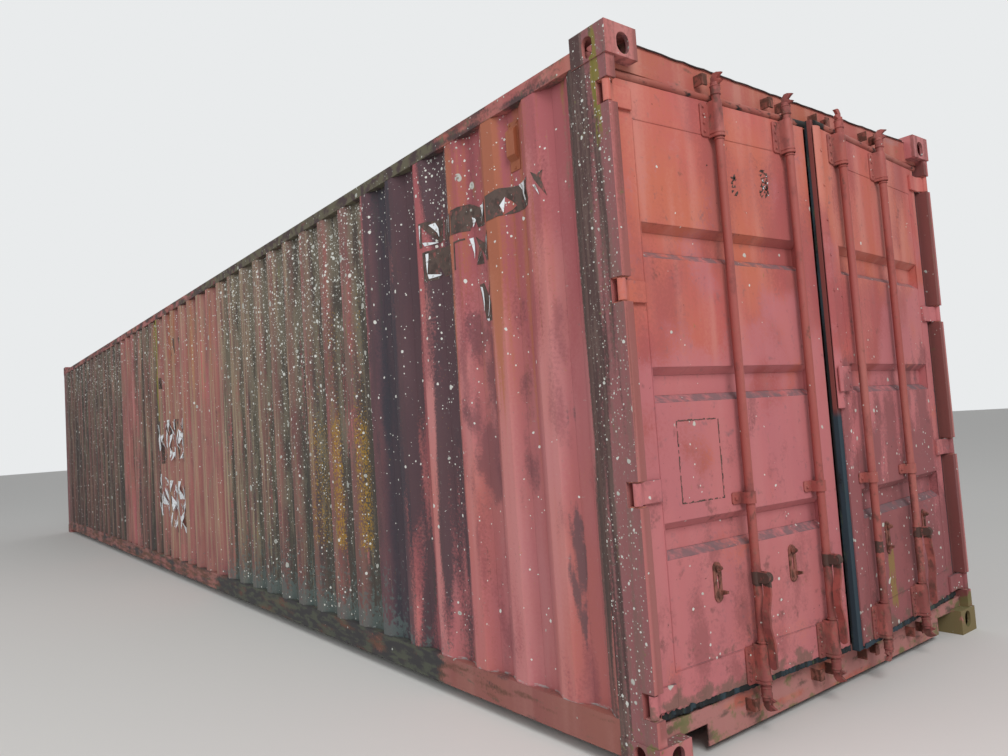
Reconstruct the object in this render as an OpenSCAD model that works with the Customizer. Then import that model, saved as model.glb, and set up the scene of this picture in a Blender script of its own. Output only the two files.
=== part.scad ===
// 40 ft dry freight container with two hinged end doors, both standing ajar.
// X runs along the box with the doors at +X, Y across it, Z up from the ground.
// "Left" and "right" are as seen by someone facing the doors: left is at -Y.
// A depth is measured inwards from the door-end face of the corner fittings,
// and an inset is measured inwards from the outer side face of the fittings.

/* [Overall size] */
// Length over the corner fittings
box_length = 12192; // [6058:1:13716]
// Width over the corner fittings
box_width = 2438; // [2300:1:2600]
// Height over the corner fittings
box_height = 2591; // [2438:1:2896]

/* [Corner fittings] */
// Length of a fitting along the box
fitting_l = 178; // [170:1:190]
// Width of a fitting across the box
fitting_w = 162; // [155:1:170]
// Height of a fitting
fitting_h = 118; // [112:1:124]
// Distance from the end face to the middle of a slot
slot_from_end = 103.5; // [98:0.5:108]
// Distance from the side face to the middle of a slot
slot_from_side = 89.5; // [84:0.5:92]
// Length of a twist-lock slot
lock_slot_l = 124; // [118:0.5:128]
// Width of a twist-lock slot
lock_slot_w = 63.5; // [60:0.5:68]
// Height of the end and side holes
hand_hole_h = 79.5; // [74:0.5:82]
// Width of the end hole
end_hole_w = 63.5; // [58:0.5:68]
// Width of the side hole
side_hole_w = 51; // [46:0.5:56]
// Thickness of the slotted wall
fitting_slot_wall = 28.5; // [22:0.5:30]
// Thickness of the end and side walls
fitting_side_wall = 16; // [10:0.5:20]
// Thickness of the two inward walls
fitting_back_wall = 12; // [8:0.5:14]

/* [Rear frame] */
// Inset of the post and rail side faces behind the fittings
side_inset = 4; // [2:0.5:8]
// Depth of the rear post's front flange
post_front = 8; // [6:1:12]
// Width of the rear post
post_w = 45; // [42:1:52]
// Depth at which the inner channel of the rear post starts
post_channel_front = 62; // [58:1:70]
// Thickness of the outer pressing
press_t = 6; // [4:0.5:8]
// Thickness of the inner channel
channel_t = 10; // [8:0.5:12]
// Depth of the header and sill front faces
rear_face = 50; // [48:1:56]
// Distance from the top of the box down to the underside of the door header
header_drop = 136; // [121:1:146]
// Length of the header box along the container
header_l = 128; // [100:1:128]
// Thickness of the header plate
header_t = 4; // [3:0.5:6]
// Underside of the door sill
sill_z = 28; // [14:1:40]
// Top of the door sill
sill_top = 165; // [158:1:168]
// Length of the door sill along the container
sill_l = 140; // [100:1:150]
// Thickness of the sill plate
sill_t = 6; // [4:0.5:8]
// Width of the lifting notch beside each bottom fitting
sill_notch_w = 150; // [120:1:170]
// Top of the lifting notch
sill_notch_top = 107; // [90:1:115]

/* [Side and roof] */
// Width and height of the square top rail
top_rail_w = 60; // [55:1:65]
// Distance from the top of the box down to the underside of the top rail
top_rail_drop = 108; // [101:1:115]
// Wall of the top rail
top_rail_t = 3; // [2.5:0.5:4]
// Underside of the bottom rail
bottom_rail_z = 50; // [40:1:60]
// Height of the bottom rail
bottom_rail_h = 125; // [115:1:128]
// Flange width of the bottom rail
bottom_rail_flange = 46; // [40:1:52]
// Thickness of the bottom rail
bottom_rail_t = 4.5; // [4:0.5:6]
// Inset of the outer flats of the side and front sheets
wall_outer = 5; // [4.5:0.5:8]
// Thickness of the corrugated wall and roof sheet
sheet_t = 2; // [1.6:0.1:3]
// Depth of the side corrugation
corr_depth = 36; // [30:1:38]
// Width of an outer flat of the side corrugation
corr_outer = 72; // [66:1:78]
// Width of an inner flat of the side corrugation
corr_inner = 70; // [64:1:76]
// Width of one slope of the side corrugation
corr_slope = 68; // [62:1:74]
// Depth from the door end at which the first slope starts
corr_start = 194; // [180:1:210]
// Depth of the front wall corrugation
front_corr_depth = 44; // [36:1:46]
// Width of each flat of the front wall corrugation
front_corr_flat = 110; // [100:1:116]
// Width of one slope of the front wall corrugation
front_corr_slope = 18; // [14:1:24]
// Height of the roof corrugation
roof_corr_h = 20; // [16:1:22]
// Distance between roof corrugations
roof_pitch = 209; // [200:1:220]
// Width of a roof crest
roof_crest = 91; // [80:1:98]
// Inset of the roof sheet on the top rails
roof_edge = 6; // [2:1:12]
// Flat margin between the top rails and the roof ridges
roof_margin = 25; // [10:1:60]
// Flat stretch of roof next to each header
roof_end_flat = 60; // [30:1:120]
// Lap of the roof sheet past the header face
roof_lap = 4; // [2:1:8]
// Width of one roof slope
roof_slope = 14; // [10:1:18]
// Length of the slope at each end of a roof crest
roof_end_slope = 28; // [20:1:40]
// Bay of the side corrugation that holds the vent
vent_bay = 2; // [2:1:4]
// Width of a vent's flange
vent_w = 62; // [56:1:68]
// Height of a vent
vent_h = 204; // [180:1:220]
// Distance from the top of the box down to the underside of a vent
vent_drop = 358; // [340:1:380]
// Thickness of a vent's flange
vent_t = 3; // [2:0.5:5]
// Height of the flange below a vent's hood
vent_foot = 38; // [30:1:44]
// Height of the flange above a vent's hood
vent_head = 20; // [14:1:26]
// Width of a vent's hood
vent_hood_w = 52; // [46:1:54]
// Depth of a vent's hood
vent_hood_d = 24; // [18:1:30]
// Height of the slope at each end of a vent's hood
vent_slope = 22; // [16:1:30]

/* [Front frame and floor] */
// Length of a front post along the container
front_post_l = 174; // [150:1:174]
// Width of a front post
front_post_w = 100; // [80:1:120]
// Length of the front header tube along the container
front_header_l = 64; // [60:1:80]
// Thickness of the front frame plate
front_t = 5; // [4:0.5:8]
// Thickness of the floor boards
floor_t = 28; // [24:1:30]
// Top of the floor boards
floor_top = 170; // [166:1:174]
// Gap between floor boards
floor_gap = 2; // [1:0.5:4]
// Rows of floor boards along the box
floor_rows = 5; // [3:1:8]
// Height of a cross member
cross_h = 122; // [110:1:126]
// Flange width of a cross member
cross_flange = 45; // [35:1:50]
// Thickness of a cross member
cross_t = 4; // [3:0.5:5]
// Largest distance between cross members
cross_pitch = 310; // [280:1:330]

/* [Doors] */
// Angle at which the left door stands ajar
left_ajar = 3.4; // [0:0.1:20]
// Angle at which the right door stands ajar
right_ajar = 5; // [0:0.1:20]
// Depth of the hinge pins
pin_depth = 28; // [26:0.5:30]
// Inset of the hinge pins
pin_inset = 20; // [19:0.5:22]
// Radius of the hinge pins
pin_r = 8; // [6:0.5:9]
// Depth of the closed door's outer face
door_face = 60; // [58:1:64]
// Thickness of the door frame
door_t = 50; // [45:1:55]
// Inset of the door's hinge edge
door_edge_inset = 80; // [78:1:84]
// Underside of the door frame
door_z = 184; // [182:1:190]
// Distance from the header down to the top of the door frame
door_head_gap = 34; // [29:1:45]
// Width of the hinge stile
hinge_stile_w = 84; // [75:1:95]
// Width of the centre stile
centre_stile_w = 108; // [95:1:115]
// Height of the door's top and bottom rails
door_rail_h = 138; // [125:1:145]
// Wall of the door frame sections
door_frame_t = 4; // [3:0.5:5]
// Distance from the middle of the box to each centre stile
centre_gap = 25; // [25:1:30]
// Middle height of the lowest sunk band of the door panel
band_low_z = 765; // [600:1:820]
// Middle height of the middle sunk band of the door panel
band_mid_z = 1316; // [1200:1:1400]
// Middle height of the highest sunk band of the door panel
band_high_z = 1841; // [1700:1:1950]
// Height of a sunk band at the door's face
band_h = 128; // [115:1:140]
// Height of one slope of a sunk band
band_slope = 28; // [20:1:34]
// Depth of a sunk band
band_depth = 36; // [28:1:40]
// Width over the seal lips, front to back
seal_d = 30; // [24:1:34]
// Distance of the seal's outer lip behind the door's face
seal_back = 6; // [4:1:10]
// Clearance between the closed seals and the frame round them
seal_gap = 6; // [5:0.5:8]
// Distance past the middle that the right door's cover strip reaches
cover_past = 12; // [8:0.5:12]
// Running gap between the left door's seal and the cover strip
centre_seal_gap = 10; // [9:0.5:12]
// Width of the cover strip on the right door
cover_w = 70; // [60:1:80]
// Height of the crown of the cover strip
cover_h = 14; // [10:1:16]
// Bottom of the cover strip
cover_z = 1187; // [1100:1:1250]

/* [Hinges] */
// Height of the lowest hinge
hinge_z = 247; // [235:1:260]
// Distance from the top of the box down to the highest hinge
hinge_drop = 244; // [232:1:304]
// Number of hinges on a door
hinge_n = 4; // [3:1:4]
// Height of a hinge blade
blade_h = 78; // [70:1:85]
// Thickness of a hinge blade
blade_t = 12; // [10:1:14]
// Reach of a hinge blade from the pin
blade_reach = 135; // [120:1:142]
// Outer radius of a hinge knuckle
knuckle_r = 15; // [13:0.5:15]
// Running clearance at pins and rods
run_gap = 0.4; // [0.2:0.1:0.6]
// Thickness of a hinge lug
lug_t = 12; // [10:1:14]
// Clearance between the blade and a lug
lug_gap = 1.5; // [1:0.5:3]
// Distance from the pin axis to the front of a lug
lug_r = 13; // [11:1:14]
// Clearance above and below a hinge blade in the windows of the post
blade_clear = 5; // [5:0.5:8]
// Depth to which the side of the post is slotted at a hinge
hinge_slot_end = 64; // [60:1:70]
// Distance from the pin at which a blade turns onto the door's face
blade_bend = 50; // [46:1:54]
// Length of a pin head beyond its lug
pin_head = 5; // [3:1:8]

/* [Lock gear] */
// Distance of the outer rods from the middle
rod_outer_y = 628; // [600:1:660]
// Distance of the inner rods from the middle
rod_inner_y = 184; // [175:1:210]
// Depth of the rod axes with the doors closed
rod_depth = 26; // [25:0.5:27]
// Radius of a lock rod
rod_r = 17; // [15:0.5:17]
// Bottom end of a lock rod's tube
rod_z = 130; // [124:1:136]
// Distance from the top of the box down to the top end of a lock rod's tube
rod_drop = 105; // [99:1:111]
// Distance from the end of a rod's tube out to the middle of its cam
cam_out = 14; // [10:1:16]
// Reach of a cam from the rod axis
cam_reach = 40; // [34:1:42]
// Thickness of a cam
cam_t = 12; // [10:1:12]
// Height of a cam
cam_h = 48; // [40:1:52]
// Distance from the rod axis at which a cam forks
cam_fork = 16; // [12:1:20]
// Height of the tips of a cam's prongs above and below its middle
cam_tip = 15; // [12:1:18]
// Reach of a cam's heel behind the rod axis
cam_heel = 14; // [10:1:16]
// Height of the collar beside a cam
end_collar_h = 40; // [30:1:44]
// Wall of a lock rod
rod_t = 4; // [3:0.5:5]
// Radius of the collar round a cam or hub
collar_r = 19; // [18:0.5:20]
// Turn of the rod that has lost its handle
loose_turn = -90; // [-90:5:0]
// Height of a keeper
keeper_h = 44; // [36:1:52]
// Length of a keeper's lip
keeper_lip = 30; // [26:1:32]
// Clearance between a cam and its keeper
keeper_gap = 7; // [6:0.5:8]
// Thickness of a keeper
keeper_t = 6; // [5:0.5:7]
// Outer radius of a rod bearing
bearing_r = 22; // [21:0.5:24]
// Height of a top or bottom rod bearing
bearing_h = 146; // [130:1:150]
// Distance from the top of the door frame down to the underside of the top bearings
bearing_drop = 151; // [146:1:160]
// Underside of the bottom bearings
bearing_bottom_z = 188; // [185:1:195]
// Height of a middle rod guide
guide_h = 44; // [36:1:50]
// Underside of the middle rod guides
guide_z = 856; // [850:1:870]
// Width of a bearing's bolted flange
flange_w = 42; // [34:1:46]
// Thickness of a bearing's bolted flange
flange_t = 7; // [5:1:8]

/* [Handles] */
// Middle height of the handle hubs
hub_z = 583; // [570:1:600]
// Distance from the rod axis to the handle pin
hub_reach = 44; // [42:1:48]
// Height of the collar of a hub
hub_h = 54; // [46:1:60]
// Radius of the round end of a hub's cheeks and of a handle's eye
eye_r = 20; // [18:1:22]
// Clearance on each side of a handle in its hub
eye_gap = 1; // [0.5:0.5:2]
// Thickness of one cheek of a hub
cheek_t = 7; // [6:0.5:8]
// Thickness of a handle
handle_t = 10; // [8:0.5:12]
// Width of a handle
handle_w = 32; // [28:1:36]
// Length of a handle from its pin
handle_l = 335; // [300:1:345]
// Bow of a handle towards the door when it is stowed
handle_bow = 18; // [12:1:20]
// Distance from the pin to the start of the bow
handle_bow_at = 60; // [50:1:70]
// Length of the slope at each end of the bow
handle_bow_slope = 60; // [50:1:70]
// Length of the middle of the bow
handle_bow_l = 60; // [40:1:80]
// Radius of the handle pin
handle_pin_r = 7; // [6:0.5:8]
// Distance from a rod to its handle catch
catch_offset = 180; // [160:1:190]
// Bottom of a handle catch
catch_z = 516; // [510:1:520]
// Height of a handle catch
catch_h = 145; // [138:1:150]
// Width of a handle catch
catch_w = 42; // [36:1:48]
// Thickness of a handle catch
catch_t = 5; // [4:0.5:5]
// Width of the slot in a catch
catch_slot_w = 12; // [8:1:16]
// Height of the slot in a catch
catch_slot_h = 50; // [30:1:56]
// Length of the hook under a stowed handle
catch_hook_l = 33; // [26:1:34]
// Thickness of the hook
catch_hook_t = 10; // [8:1:12]
// Height of the top of the hook above the bottom of its catch
catch_hook_top = 40; // [36:1:42]
// Radius of the pivot at the top of a catch
catch_pivot_r = 12; // [10:1:14]
// Length of the pivot
catch_pivot_l = 14; // [10:1:16]
// Height of the tamper plate on the right door
tamper_h = 108; // [90:1:115]
// Bottom of the tamper plate
tamper_z = 1258; // [1240:1:1270]
// Thickness of the tamper plate
tamper_t = 6; // [4:1:8]
// Width of the packer under the tamper plate
tamper_foot = 44; // [30:1:50]

/* [Hidden] */
$fn = 48;
eps = 0.5;

left = -1;
right = 1;
half_l = box_length / 2;
half_w = box_width / 2;
opening_y = half_w - side_inset - post_w;
inner_l = box_length - 2 * fitting_l;
between_fittings = box_width - 2 * fitting_w;
post_h = box_height - 2 * fitting_h;
post_channel_l = fitting_l - post_channel_front;
header_z = box_height - header_drop;
top_rail_z = box_height - top_rail_drop;
door_top = header_z - door_head_gap;
bearing_top_z = door_top - bearing_drop;
vent_z = box_height - vent_drop;
rod_top = box_height - rod_drop;
cam_zs = [rod_z - cam_out, rod_top + cam_out];
hinge_pitch = (box_height - hinge_drop - hinge_z) / (hinge_n - 1);
top_rail_top = top_rail_z + top_rail_w;
bottom_rail_top = bottom_rail_z + bottom_rail_h;
header_top = top_rail_top + roof_corr_h - sheet_t;
header_h = header_top - header_z;
front_header_h = header_top - (box_height - fitting_h);
corr_pitch = corr_outer + corr_inner + 2 * corr_slope;
wall_end = box_length - side_inset - front_post_l;
corr_n = floor((wall_end - corr_start - corr_outer) / corr_pitch);
trough_inset = wall_outer + corr_depth;
front_wall_w = box_width - 2 * side_inset - 2 * front_post_w;
front_corr_pitch = 2 * front_corr_flat + 2 * front_corr_slope;
front_corr_n = floor((front_wall_w - front_corr_flat) / front_corr_pitch);
front_header_end = -half_l + side_inset + front_header_l;
cross_z = floor_top - floor_t - cross_h;
floor_front = box_length - side_inset - front_post_l - floor_gap;
floor_rear = rear_face + sill_l + floor_gap;
pin_y = half_w - pin_inset;
face_v = pin_depth - door_face;
edge_u = door_edge_inset - pin_inset;
centre_u = pin_y - centre_gap;
rod_v = pin_depth - rod_depth;
seal_v = face_v - seal_back;
door_h = door_top - door_z;
band_zs = [band_low_z, band_mid_z, band_high_z];
hinge_zs = [for (k = [0 : hinge_n - 1]) hinge_z + k * hinge_pitch];
rod_ys = [rod_outer_y, rod_inner_y];
lip_front = rod_depth - cam_t / 2 - keeper_gap - keeper_t;
lip_inner = collar_r + keeper_gap;
fit_gap = 0.3;
c_paint = "indianred";
c_rust = "sienna";
c_rubber = "darkslategray";

// A flat slot with round ends, l long over all and w wide, running along X.
module slot_2d(l, w) {
  square([l - w, w], center = true);
  for (s = [-1, 1]) translate([s * (l - w) / 2, 0]) circle(d = w);
}

// Children drawn from an outer bottom corner inwards, at the left and right corners of one end
// (rear 1, front 0) and one level (top 1, bottom 0).
module at_corners(rear, top) {
  for (sy = [0, 1])
    translate([rear ? half_l : -half_l, sy ? half_w : -half_w, top ? box_height : 0])
      mirror([rear, 0, 0]) mirror([0, sy, 0]) mirror([0, 0, top]) children();
}

// A rear corner seen from above: X is the depth from the door end, Y the inset from the side face.
module at_rear_corner(side) {
  on_side(side) translate([half_l, half_w, 0]) rotate([0, 0, 180]) children();
}

// Moves a shape drawn for the right-hand side to the given side.
module on_side(side) {
  mirror([0, side < 0 ? 1 : 0, 0]) children();
}

// Door axes: X runs from the hinge pin towards the middle of the box, Y points out of the door.
module on_door(side, ajar) {
  on_side(side)
    translate([half_l - pin_depth, pin_y, 0])
      rotate([0, 0, ajar - 90]) children();
}

// One corner fitting, hollow, with its slot and its two hand holes.
module fitting() {
  hole_z = fitting_slot_wall + hand_hole_h / 2;
  difference() {
    cube([fitting_l, fitting_w, fitting_h]);
    translate([fitting_side_wall, fitting_side_wall, fitting_slot_wall])
      cube([
        fitting_l - fitting_side_wall - fitting_back_wall,
        fitting_w - fitting_side_wall - fitting_back_wall,
        fitting_h - fitting_slot_wall - fitting_back_wall
      ]);
    translate([slot_from_end, slot_from_side, -eps])
      linear_extrude(fitting_slot_wall + 2 * eps) slot_2d(lock_slot_l, lock_slot_w);
    translate([-eps, slot_from_side, hole_z])
      rotate([90, 0, 90]) linear_extrude(fitting_side_wall + 2 * eps)
        rotate(90) slot_2d(hand_hole_h, end_hole_w);
    translate([slot_from_side, -eps, hole_z])
      rotate([-90, 0, 0]) linear_extrude(fitting_side_wall + 2 * eps)
        rotate(90) slot_2d(hand_hole_h, side_hole_w);
  }
}

module rear_top_fittings() color(c_rust) at_corners(1, 1) fitting();
module rear_bottom_fittings() color(c_rust) at_corners(1, 0) fitting();
module front_top_fittings() color(c_rust) at_corners(0, 1) fitting();
module front_bottom_fittings() color(c_rust) at_corners(0, 0) fitting();

// Plan of a rear post: X is the depth from the door end, Y the inset from the side face.
module rear_post_plan() {
  outer = side_inset;
  inner = side_inset + post_w;
  translate([post_front, outer]) square([fitting_l - post_front, press_t]);
  translate([post_front, outer]) square([press_t, post_w]);
  translate([post_front, inner - press_t])
    square([post_channel_front - post_front + channel_t, press_t]);
  translate([post_channel_front, outer]) square([channel_t, post_w]);
  translate([post_channel_front, inner - channel_t]) square([post_channel_l, channel_t]);
  translate([fitting_l - channel_t, outer]) square([channel_t, post_w]);
}

// A rear post with a window at each hinge, so that the blade can swing right round.
module rear_post(side) {
  window_h = blade_h + 2 * blade_clear;
  color(c_rust) at_rear_corner(side)
    difference() {
      translate([0, 0, fitting_h]) linear_extrude(post_h) rear_post_plan();
      for (z = hinge_zs) translate([-eps, -eps, z - window_h / 2]) {
        cube([post_channel_front + eps, side_inset + post_w + 2 * eps, window_h]);
        cube([hinge_slot_end, side_inset + press_t + eps, window_h]);
      }
    }
}

module rear_post_left() rear_post(left);
module rear_post_right() rear_post(right);

// The header: a hollow box between the fittings, with a lower lip that runs out to the posts.
module door_header() color(c_paint) {
  rear = half_l - rear_face - header_l;
  difference() {
    union() {
      translate([rear, -between_fittings / 2, header_z]) cube([header_l, between_fittings, header_h]);
      translate([rear, -opening_y, header_z])
        cube([header_l, 2 * opening_y, box_height - fitting_h - header_z]);
    }
    translate([rear + header_t, -opening_y - eps, header_z + header_t])
      cube([header_l - 2 * header_t, 2 * opening_y + 2 * eps, header_h - 2 * header_t]);
  }
}

// The sill: a channel open underneath, with a lifting notch beside each fitting.
module door_sill() color(c_paint) {
  rear = half_l - rear_face - sill_l;
  difference() {
    union() {
      translate([rear, -between_fittings / 2, sill_z])
        cube([sill_l, between_fittings, sill_top - sill_z]);
      translate([rear, -opening_y, fitting_h]) cube([sill_l, 2 * opening_y, sill_top - fitting_h]);
    }
    translate([rear + sill_t, -opening_y - eps, sill_z - eps])
      cube([sill_l - 2 * sill_t, 2 * opening_y + 2 * eps, sill_top - sill_z - sill_t + eps]);
    for (side = [left, right]) on_side(side)
      translate([rear - eps, between_fittings / 2 - sill_notch_w, sill_z - eps])
        cube([sill_l + 2 * eps, sill_notch_w + eps, sill_notch_top - sill_z + eps]);
  }
}

// A square hollow section, l long, running along X.
module tube_x(l, w, h, t) {
  difference() {
    cube([l, w, h]);
    translate([-eps, t, t]) cube([l + 2 * eps, w - 2 * t, h - 2 * t]);
  }
}

// The two front corner posts: pressed hollow sections.
module front_posts() {
  color(c_paint) for (side = [left, right]) on_side(side)
    translate([-half_l + side_inset, half_w - side_inset - front_post_w, box_height - fitting_h])
      rotate([0, 90, 0]) tube_x(post_h, front_post_w, front_post_l, front_t);
}

// A hollow beam across the front end, between the fittings.
module front_beam(z, l, h) {
  color(c_paint) translate([-half_l + side_inset + l, -between_fittings / 2, z])
    rotate([0, 0, 90]) tube_x(between_fittings, l, h, front_t);
}

module front_header() front_beam(header_top - front_header_h, front_header_l, front_header_h);
module front_sill() front_beam(sill_z, front_post_l, sill_top - sill_z);

// A square top side rail between the fittings.
module top_rail(side) {
  color(c_paint) on_side(side)
    translate([-inner_l / 2, half_w - side_inset - top_rail_w, top_rail_z])
      tube_x(inner_l, top_rail_w, top_rail_w, top_rail_t);
}

module top_rail_left() top_rail(left);
module top_rail_right() top_rail(right);

// A bottom side rail: a channel that opens inwards.
module bottom_rail(side) {
  color(c_rust) on_side(side)
    translate([-inner_l / 2, half_w - side_inset - bottom_rail_flange, bottom_rail_z])
      difference() {
        cube([inner_l, bottom_rail_flange, bottom_rail_h]);
        translate([-eps, -eps, bottom_rail_t])
          cube([
            inner_l + 2 * eps,
            bottom_rail_flange - bottom_rail_t + eps,
            bottom_rail_h - 2 * bottom_rail_t
          ]);
      }
}

module bottom_rail_left() bottom_rail(left);
module bottom_rail_right() bottom_rail(right);

// Corner points of one bay of corrugation that starts at x: down, along the floor and up again.
function bay(x, slope, flat, depth) =
  [[x, 0], [x + slope, depth], [x + slope + flat, depth], [x + 2 * slope + flat, 0]];

// A corrugated sheet in plan, from x0 to x1, given the corner points of its outer face.
module sheet_2d(x0, x1, bays, t) {
  path = concat([[x0, 0]], bays, [[x1, 0]]);
  last = len(path) - 1;
  polygon(concat(path, [for (k = [last : -1 : 0]) path[k] + [0, t]]));
}

// A side wall: one corrugated sheet from the rear post to the front post.
module side_wall(side) {
  bays = [for (k = [0 : corr_n - 1])
    each bay(corr_start + k * corr_pitch, corr_slope, corr_inner, corr_depth)];
  color(c_paint) at_rear_corner(side) translate([0, wall_outer, bottom_rail_top])
    linear_extrude(top_rail_z - bottom_rail_top) sheet_2d(fitting_l, wall_end, bays, sheet_t);
}

module side_wall_left() side_wall(left);
module side_wall_right() side_wall(right);

// The front wall: one sheet with upright corrugations between the front posts.
module front_wall() color(c_paint) {
  bays_w = front_corr_n * front_corr_pitch - front_corr_flat;
  bays = [for (k = [0 : front_corr_n - 1])
    each bay(k * front_corr_pitch - bays_w / 2, front_corr_slope, front_corr_flat, front_corr_depth)];
  translate([-half_l + wall_outer, 0, sill_top]) rotate([0, 0, -90])
    linear_extrude(header_top - front_header_h - sill_top)
      sheet_2d(-front_wall_w / 2, front_wall_w / 2, bays, sheet_t);
}

// Cross section of a ridge, w wide at its foot, that sinks a little into the sheet below.
module ridge_2d(w, h, slope) {
  polygon([[-w / 2, -eps], [w / 2, -eps], [w / 2, 0], [w / 2 - slope, h], [slope - w / 2, h], [-w / 2, 0]]);
}

// One raised roof ridge, w wide at its foot and run long, with four sloping sides.
module ridge(w, run, h) {
  intersection() {
    rotate([90, 0, 0]) translate([0, 0, -run / 2]) linear_extrude(run)
      ridge_2d(w, h, roof_slope);
    rotate([90, 0, 90]) translate([0, 0, -w / 2]) linear_extrude(w)
      ridge_2d(run, h, roof_end_slope);
  }
}

// The roof: pressed sheet with raised ridges across it, and a flat strip over the door header.
module roof() color(c_paint) {
  sheet_l = box_length - 2 * (rear_face + header_l);
  sheet_w = box_width - 2 * (side_inset + roof_edge);
  ridge_w = roof_crest + 2 * roof_slope;
  ridge_run = box_width - 2 * (side_inset + top_rail_w + roof_margin);
  n = floor((sheet_l - 2 * roof_end_flat + roof_pitch - ridge_w) / roof_pitch);
  difference() {
    union() {
      translate([-inner_l / 2, -sheet_w / 2, top_rail_top]) cube([inner_l, sheet_w, sheet_t]);
      translate([front_header_end, -between_fittings / 2, top_rail_top])
        cube([half_l, between_fittings, sheet_t]);
      for (k = [0 : n - 1]) translate([(k - (n - 1) / 2) * roof_pitch, 0, top_rail_top + sheet_t])
        ridge(ridge_w, ridge_run, roof_corr_h - sheet_t);
    }
    for (k = [0 : n - 1]) translate([(k - (n - 1) / 2) * roof_pitch, 0, top_rail_top])
      ridge(ridge_w - sheet_t, ridge_run - sheet_t, roof_corr_h - sheet_t);
  }
  translate([half_l - rear_face - header_l, -between_fittings / 2, header_top])
    cube([header_l + roof_lap, between_fittings, sheet_t]);
}

// Floor boards in two rows across, lying between the bottom rails.
module floor_boards() color("burlywood") {
  board_w = (box_width - 2 * (side_inset + bottom_rail_flange) - 3 * floor_gap) / 2;
  board_l = (floor_front - floor_rear - (floor_rows - 1) * floor_gap) / floor_rows;
  for (side = [left, right], k = [0 : floor_rows - 1]) on_side(side)
    translate([half_l - floor_front + k * (board_l + floor_gap), floor_gap / 2, floor_top - floor_t])
      cube([board_l, board_w, floor_t]);
}

// One cross member: a channel whose lower corners are cut back for the bottom rails.
module cross_member() {
  reach = half_w - side_inset - bottom_rail_t;
  cope_w = bottom_rail_flange - bottom_rail_t + fit_gap;
  cope_h = bottom_rail_z + bottom_rail_t - cross_z;
  difference() {
    translate([0, -reach, 0]) cube([cross_flange, 2 * reach, cross_h]);
    translate([cross_t, -reach - eps, cross_t])
      cube([cross_flange, 2 * (reach + eps), cross_h - 2 * cross_t]);
    for (side = [left, right]) on_side(side)
      translate([-eps, reach - cope_w, -eps]) cube([cross_flange + 2 * eps, cope_w + eps, cope_h + eps]);
  }
}

module cross_members() color(c_rust) {
  start = fit_gap - inner_l / 2;
  end = half_l - rear_face - sill_l - fit_gap - cross_flange;
  n = ceil((end - start) / cross_pitch);
  for (k = [0 : n]) translate([start + k * (end - start) / n, 0, cross_z]) cross_member();
}

// Side view of a vent's hood, drawn smaller by w all round: X is the height of it off the wall.
module vent_hood_2d(w) {
  low = vent_foot + w;
  high = vent_h - vent_head - w;
  out = w - vent_hood_d;
  polygon([[0, low], [0, high], [out, high - vent_slope], [out, low + vent_slope]]);
}

// A ventilator: a flange on the bottom of a corrugation, with a hollow hood that slopes at its ends.
module vents() color("peru") {
  middle = corr_start + corr_slope + corr_inner / 2 + (vent_bay - 1) * corr_pitch;
  hollow_w = vent_hood_w - 2 * vent_t;
  for (side = [left, right]) at_rear_corner(side) translate([middle, trough_inset, vent_z])
    difference() {
      union() {
        translate([-vent_w / 2, -vent_t, 0]) cube([vent_w, vent_t, vent_h]);
        translate([-vent_hood_w / 2, 0, 0]) rotate([90, 0, 90])
          linear_extrude(vent_hood_w) vent_hood_2d(0);
      }
      translate([-hollow_w / 2, eps, 0]) rotate([90, 0, 90])
        linear_extrude(hollow_w) vent_hood_2d(vent_t);
    }
}

// The fixed half of the hinges: two lugs and a pin at each hinge.
module hinge_pins() {
  lug_front = pin_depth - lug_r;
  lug_out = side_inset + press_t + fit_gap;
  lug_in = side_inset + post_w - press_t - fit_gap;
  lug_z = blade_h / 2 + lug_gap;
  pin_half = lug_z + lug_t + pin_head;
  color(c_rust) for (side = [left, right], z = hinge_zs) at_rear_corner(side) translate([0, 0, z]) {
    for (s = [0, 1]) mirror([0, 0, s]) translate([lug_front, lug_out, lug_z])
      cube([post_channel_front - lug_front, lug_in - lug_out, lug_t]);
    translate([pin_depth, pin_inset, -pin_half]) cylinder(r = pin_r, h = 2 * pin_half);
  }
}

// A keeper: a hook on the hinge side of a rod and a plain ear on the other side.
module keeper() {
  translate([lip_front, -lip_inner - keeper_lip, -keeper_h / 2]) {
    cube([keeper_t, keeper_lip, keeper_h]);
    cube([rear_face - lip_front, keeper_t, keeper_h]);
  }
  translate([lip_front, lip_inner + keeper_lip - keeper_t, -keeper_h / 2])
    cube([rear_face - lip_front, keeper_t, keeper_h]);
}

module keepers() {
  color(c_rust) for (z = cam_zs, y = rod_ys, side = [left, right])
    at_rear_corner(side) translate([0, half_w - y, z]) keeper();
}

// The steel frame of a door: two hollow stiles joined by two channel rails.
module door_frame(side, ajar) {
  back_v = face_v - door_t;
  rail_l = centre_u - edge_u - hinge_stile_w - centre_stile_w;
  t = door_frame_t;
  color(c_paint) on_door(side, ajar) {
    for (stile = [[edge_u, hinge_stile_w], [centre_u - centre_stile_w, centre_stile_w]])
      translate([stile[0], back_v, door_z]) difference() {
        cube([stile[1], door_t, door_h]);
        translate([t, t, t]) cube([stile[1] - 2 * t, door_t - 2 * t, door_h - 2 * t]);
      }
    for (z = [door_z, door_top - door_rail_h]) translate([edge_u + hinge_stile_w, back_v, z])
      difference() {
        cube([rail_l, door_t, door_rail_h]);
        translate([-eps, -eps, t]) cube([rail_l + 2 * eps, door_t - t + eps, door_rail_h - 2 * t]);
      }
  }
}

module left_door_frame() door_frame(left, left_ajar);
module right_door_frame() door_frame(right, right_ajar);

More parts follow.
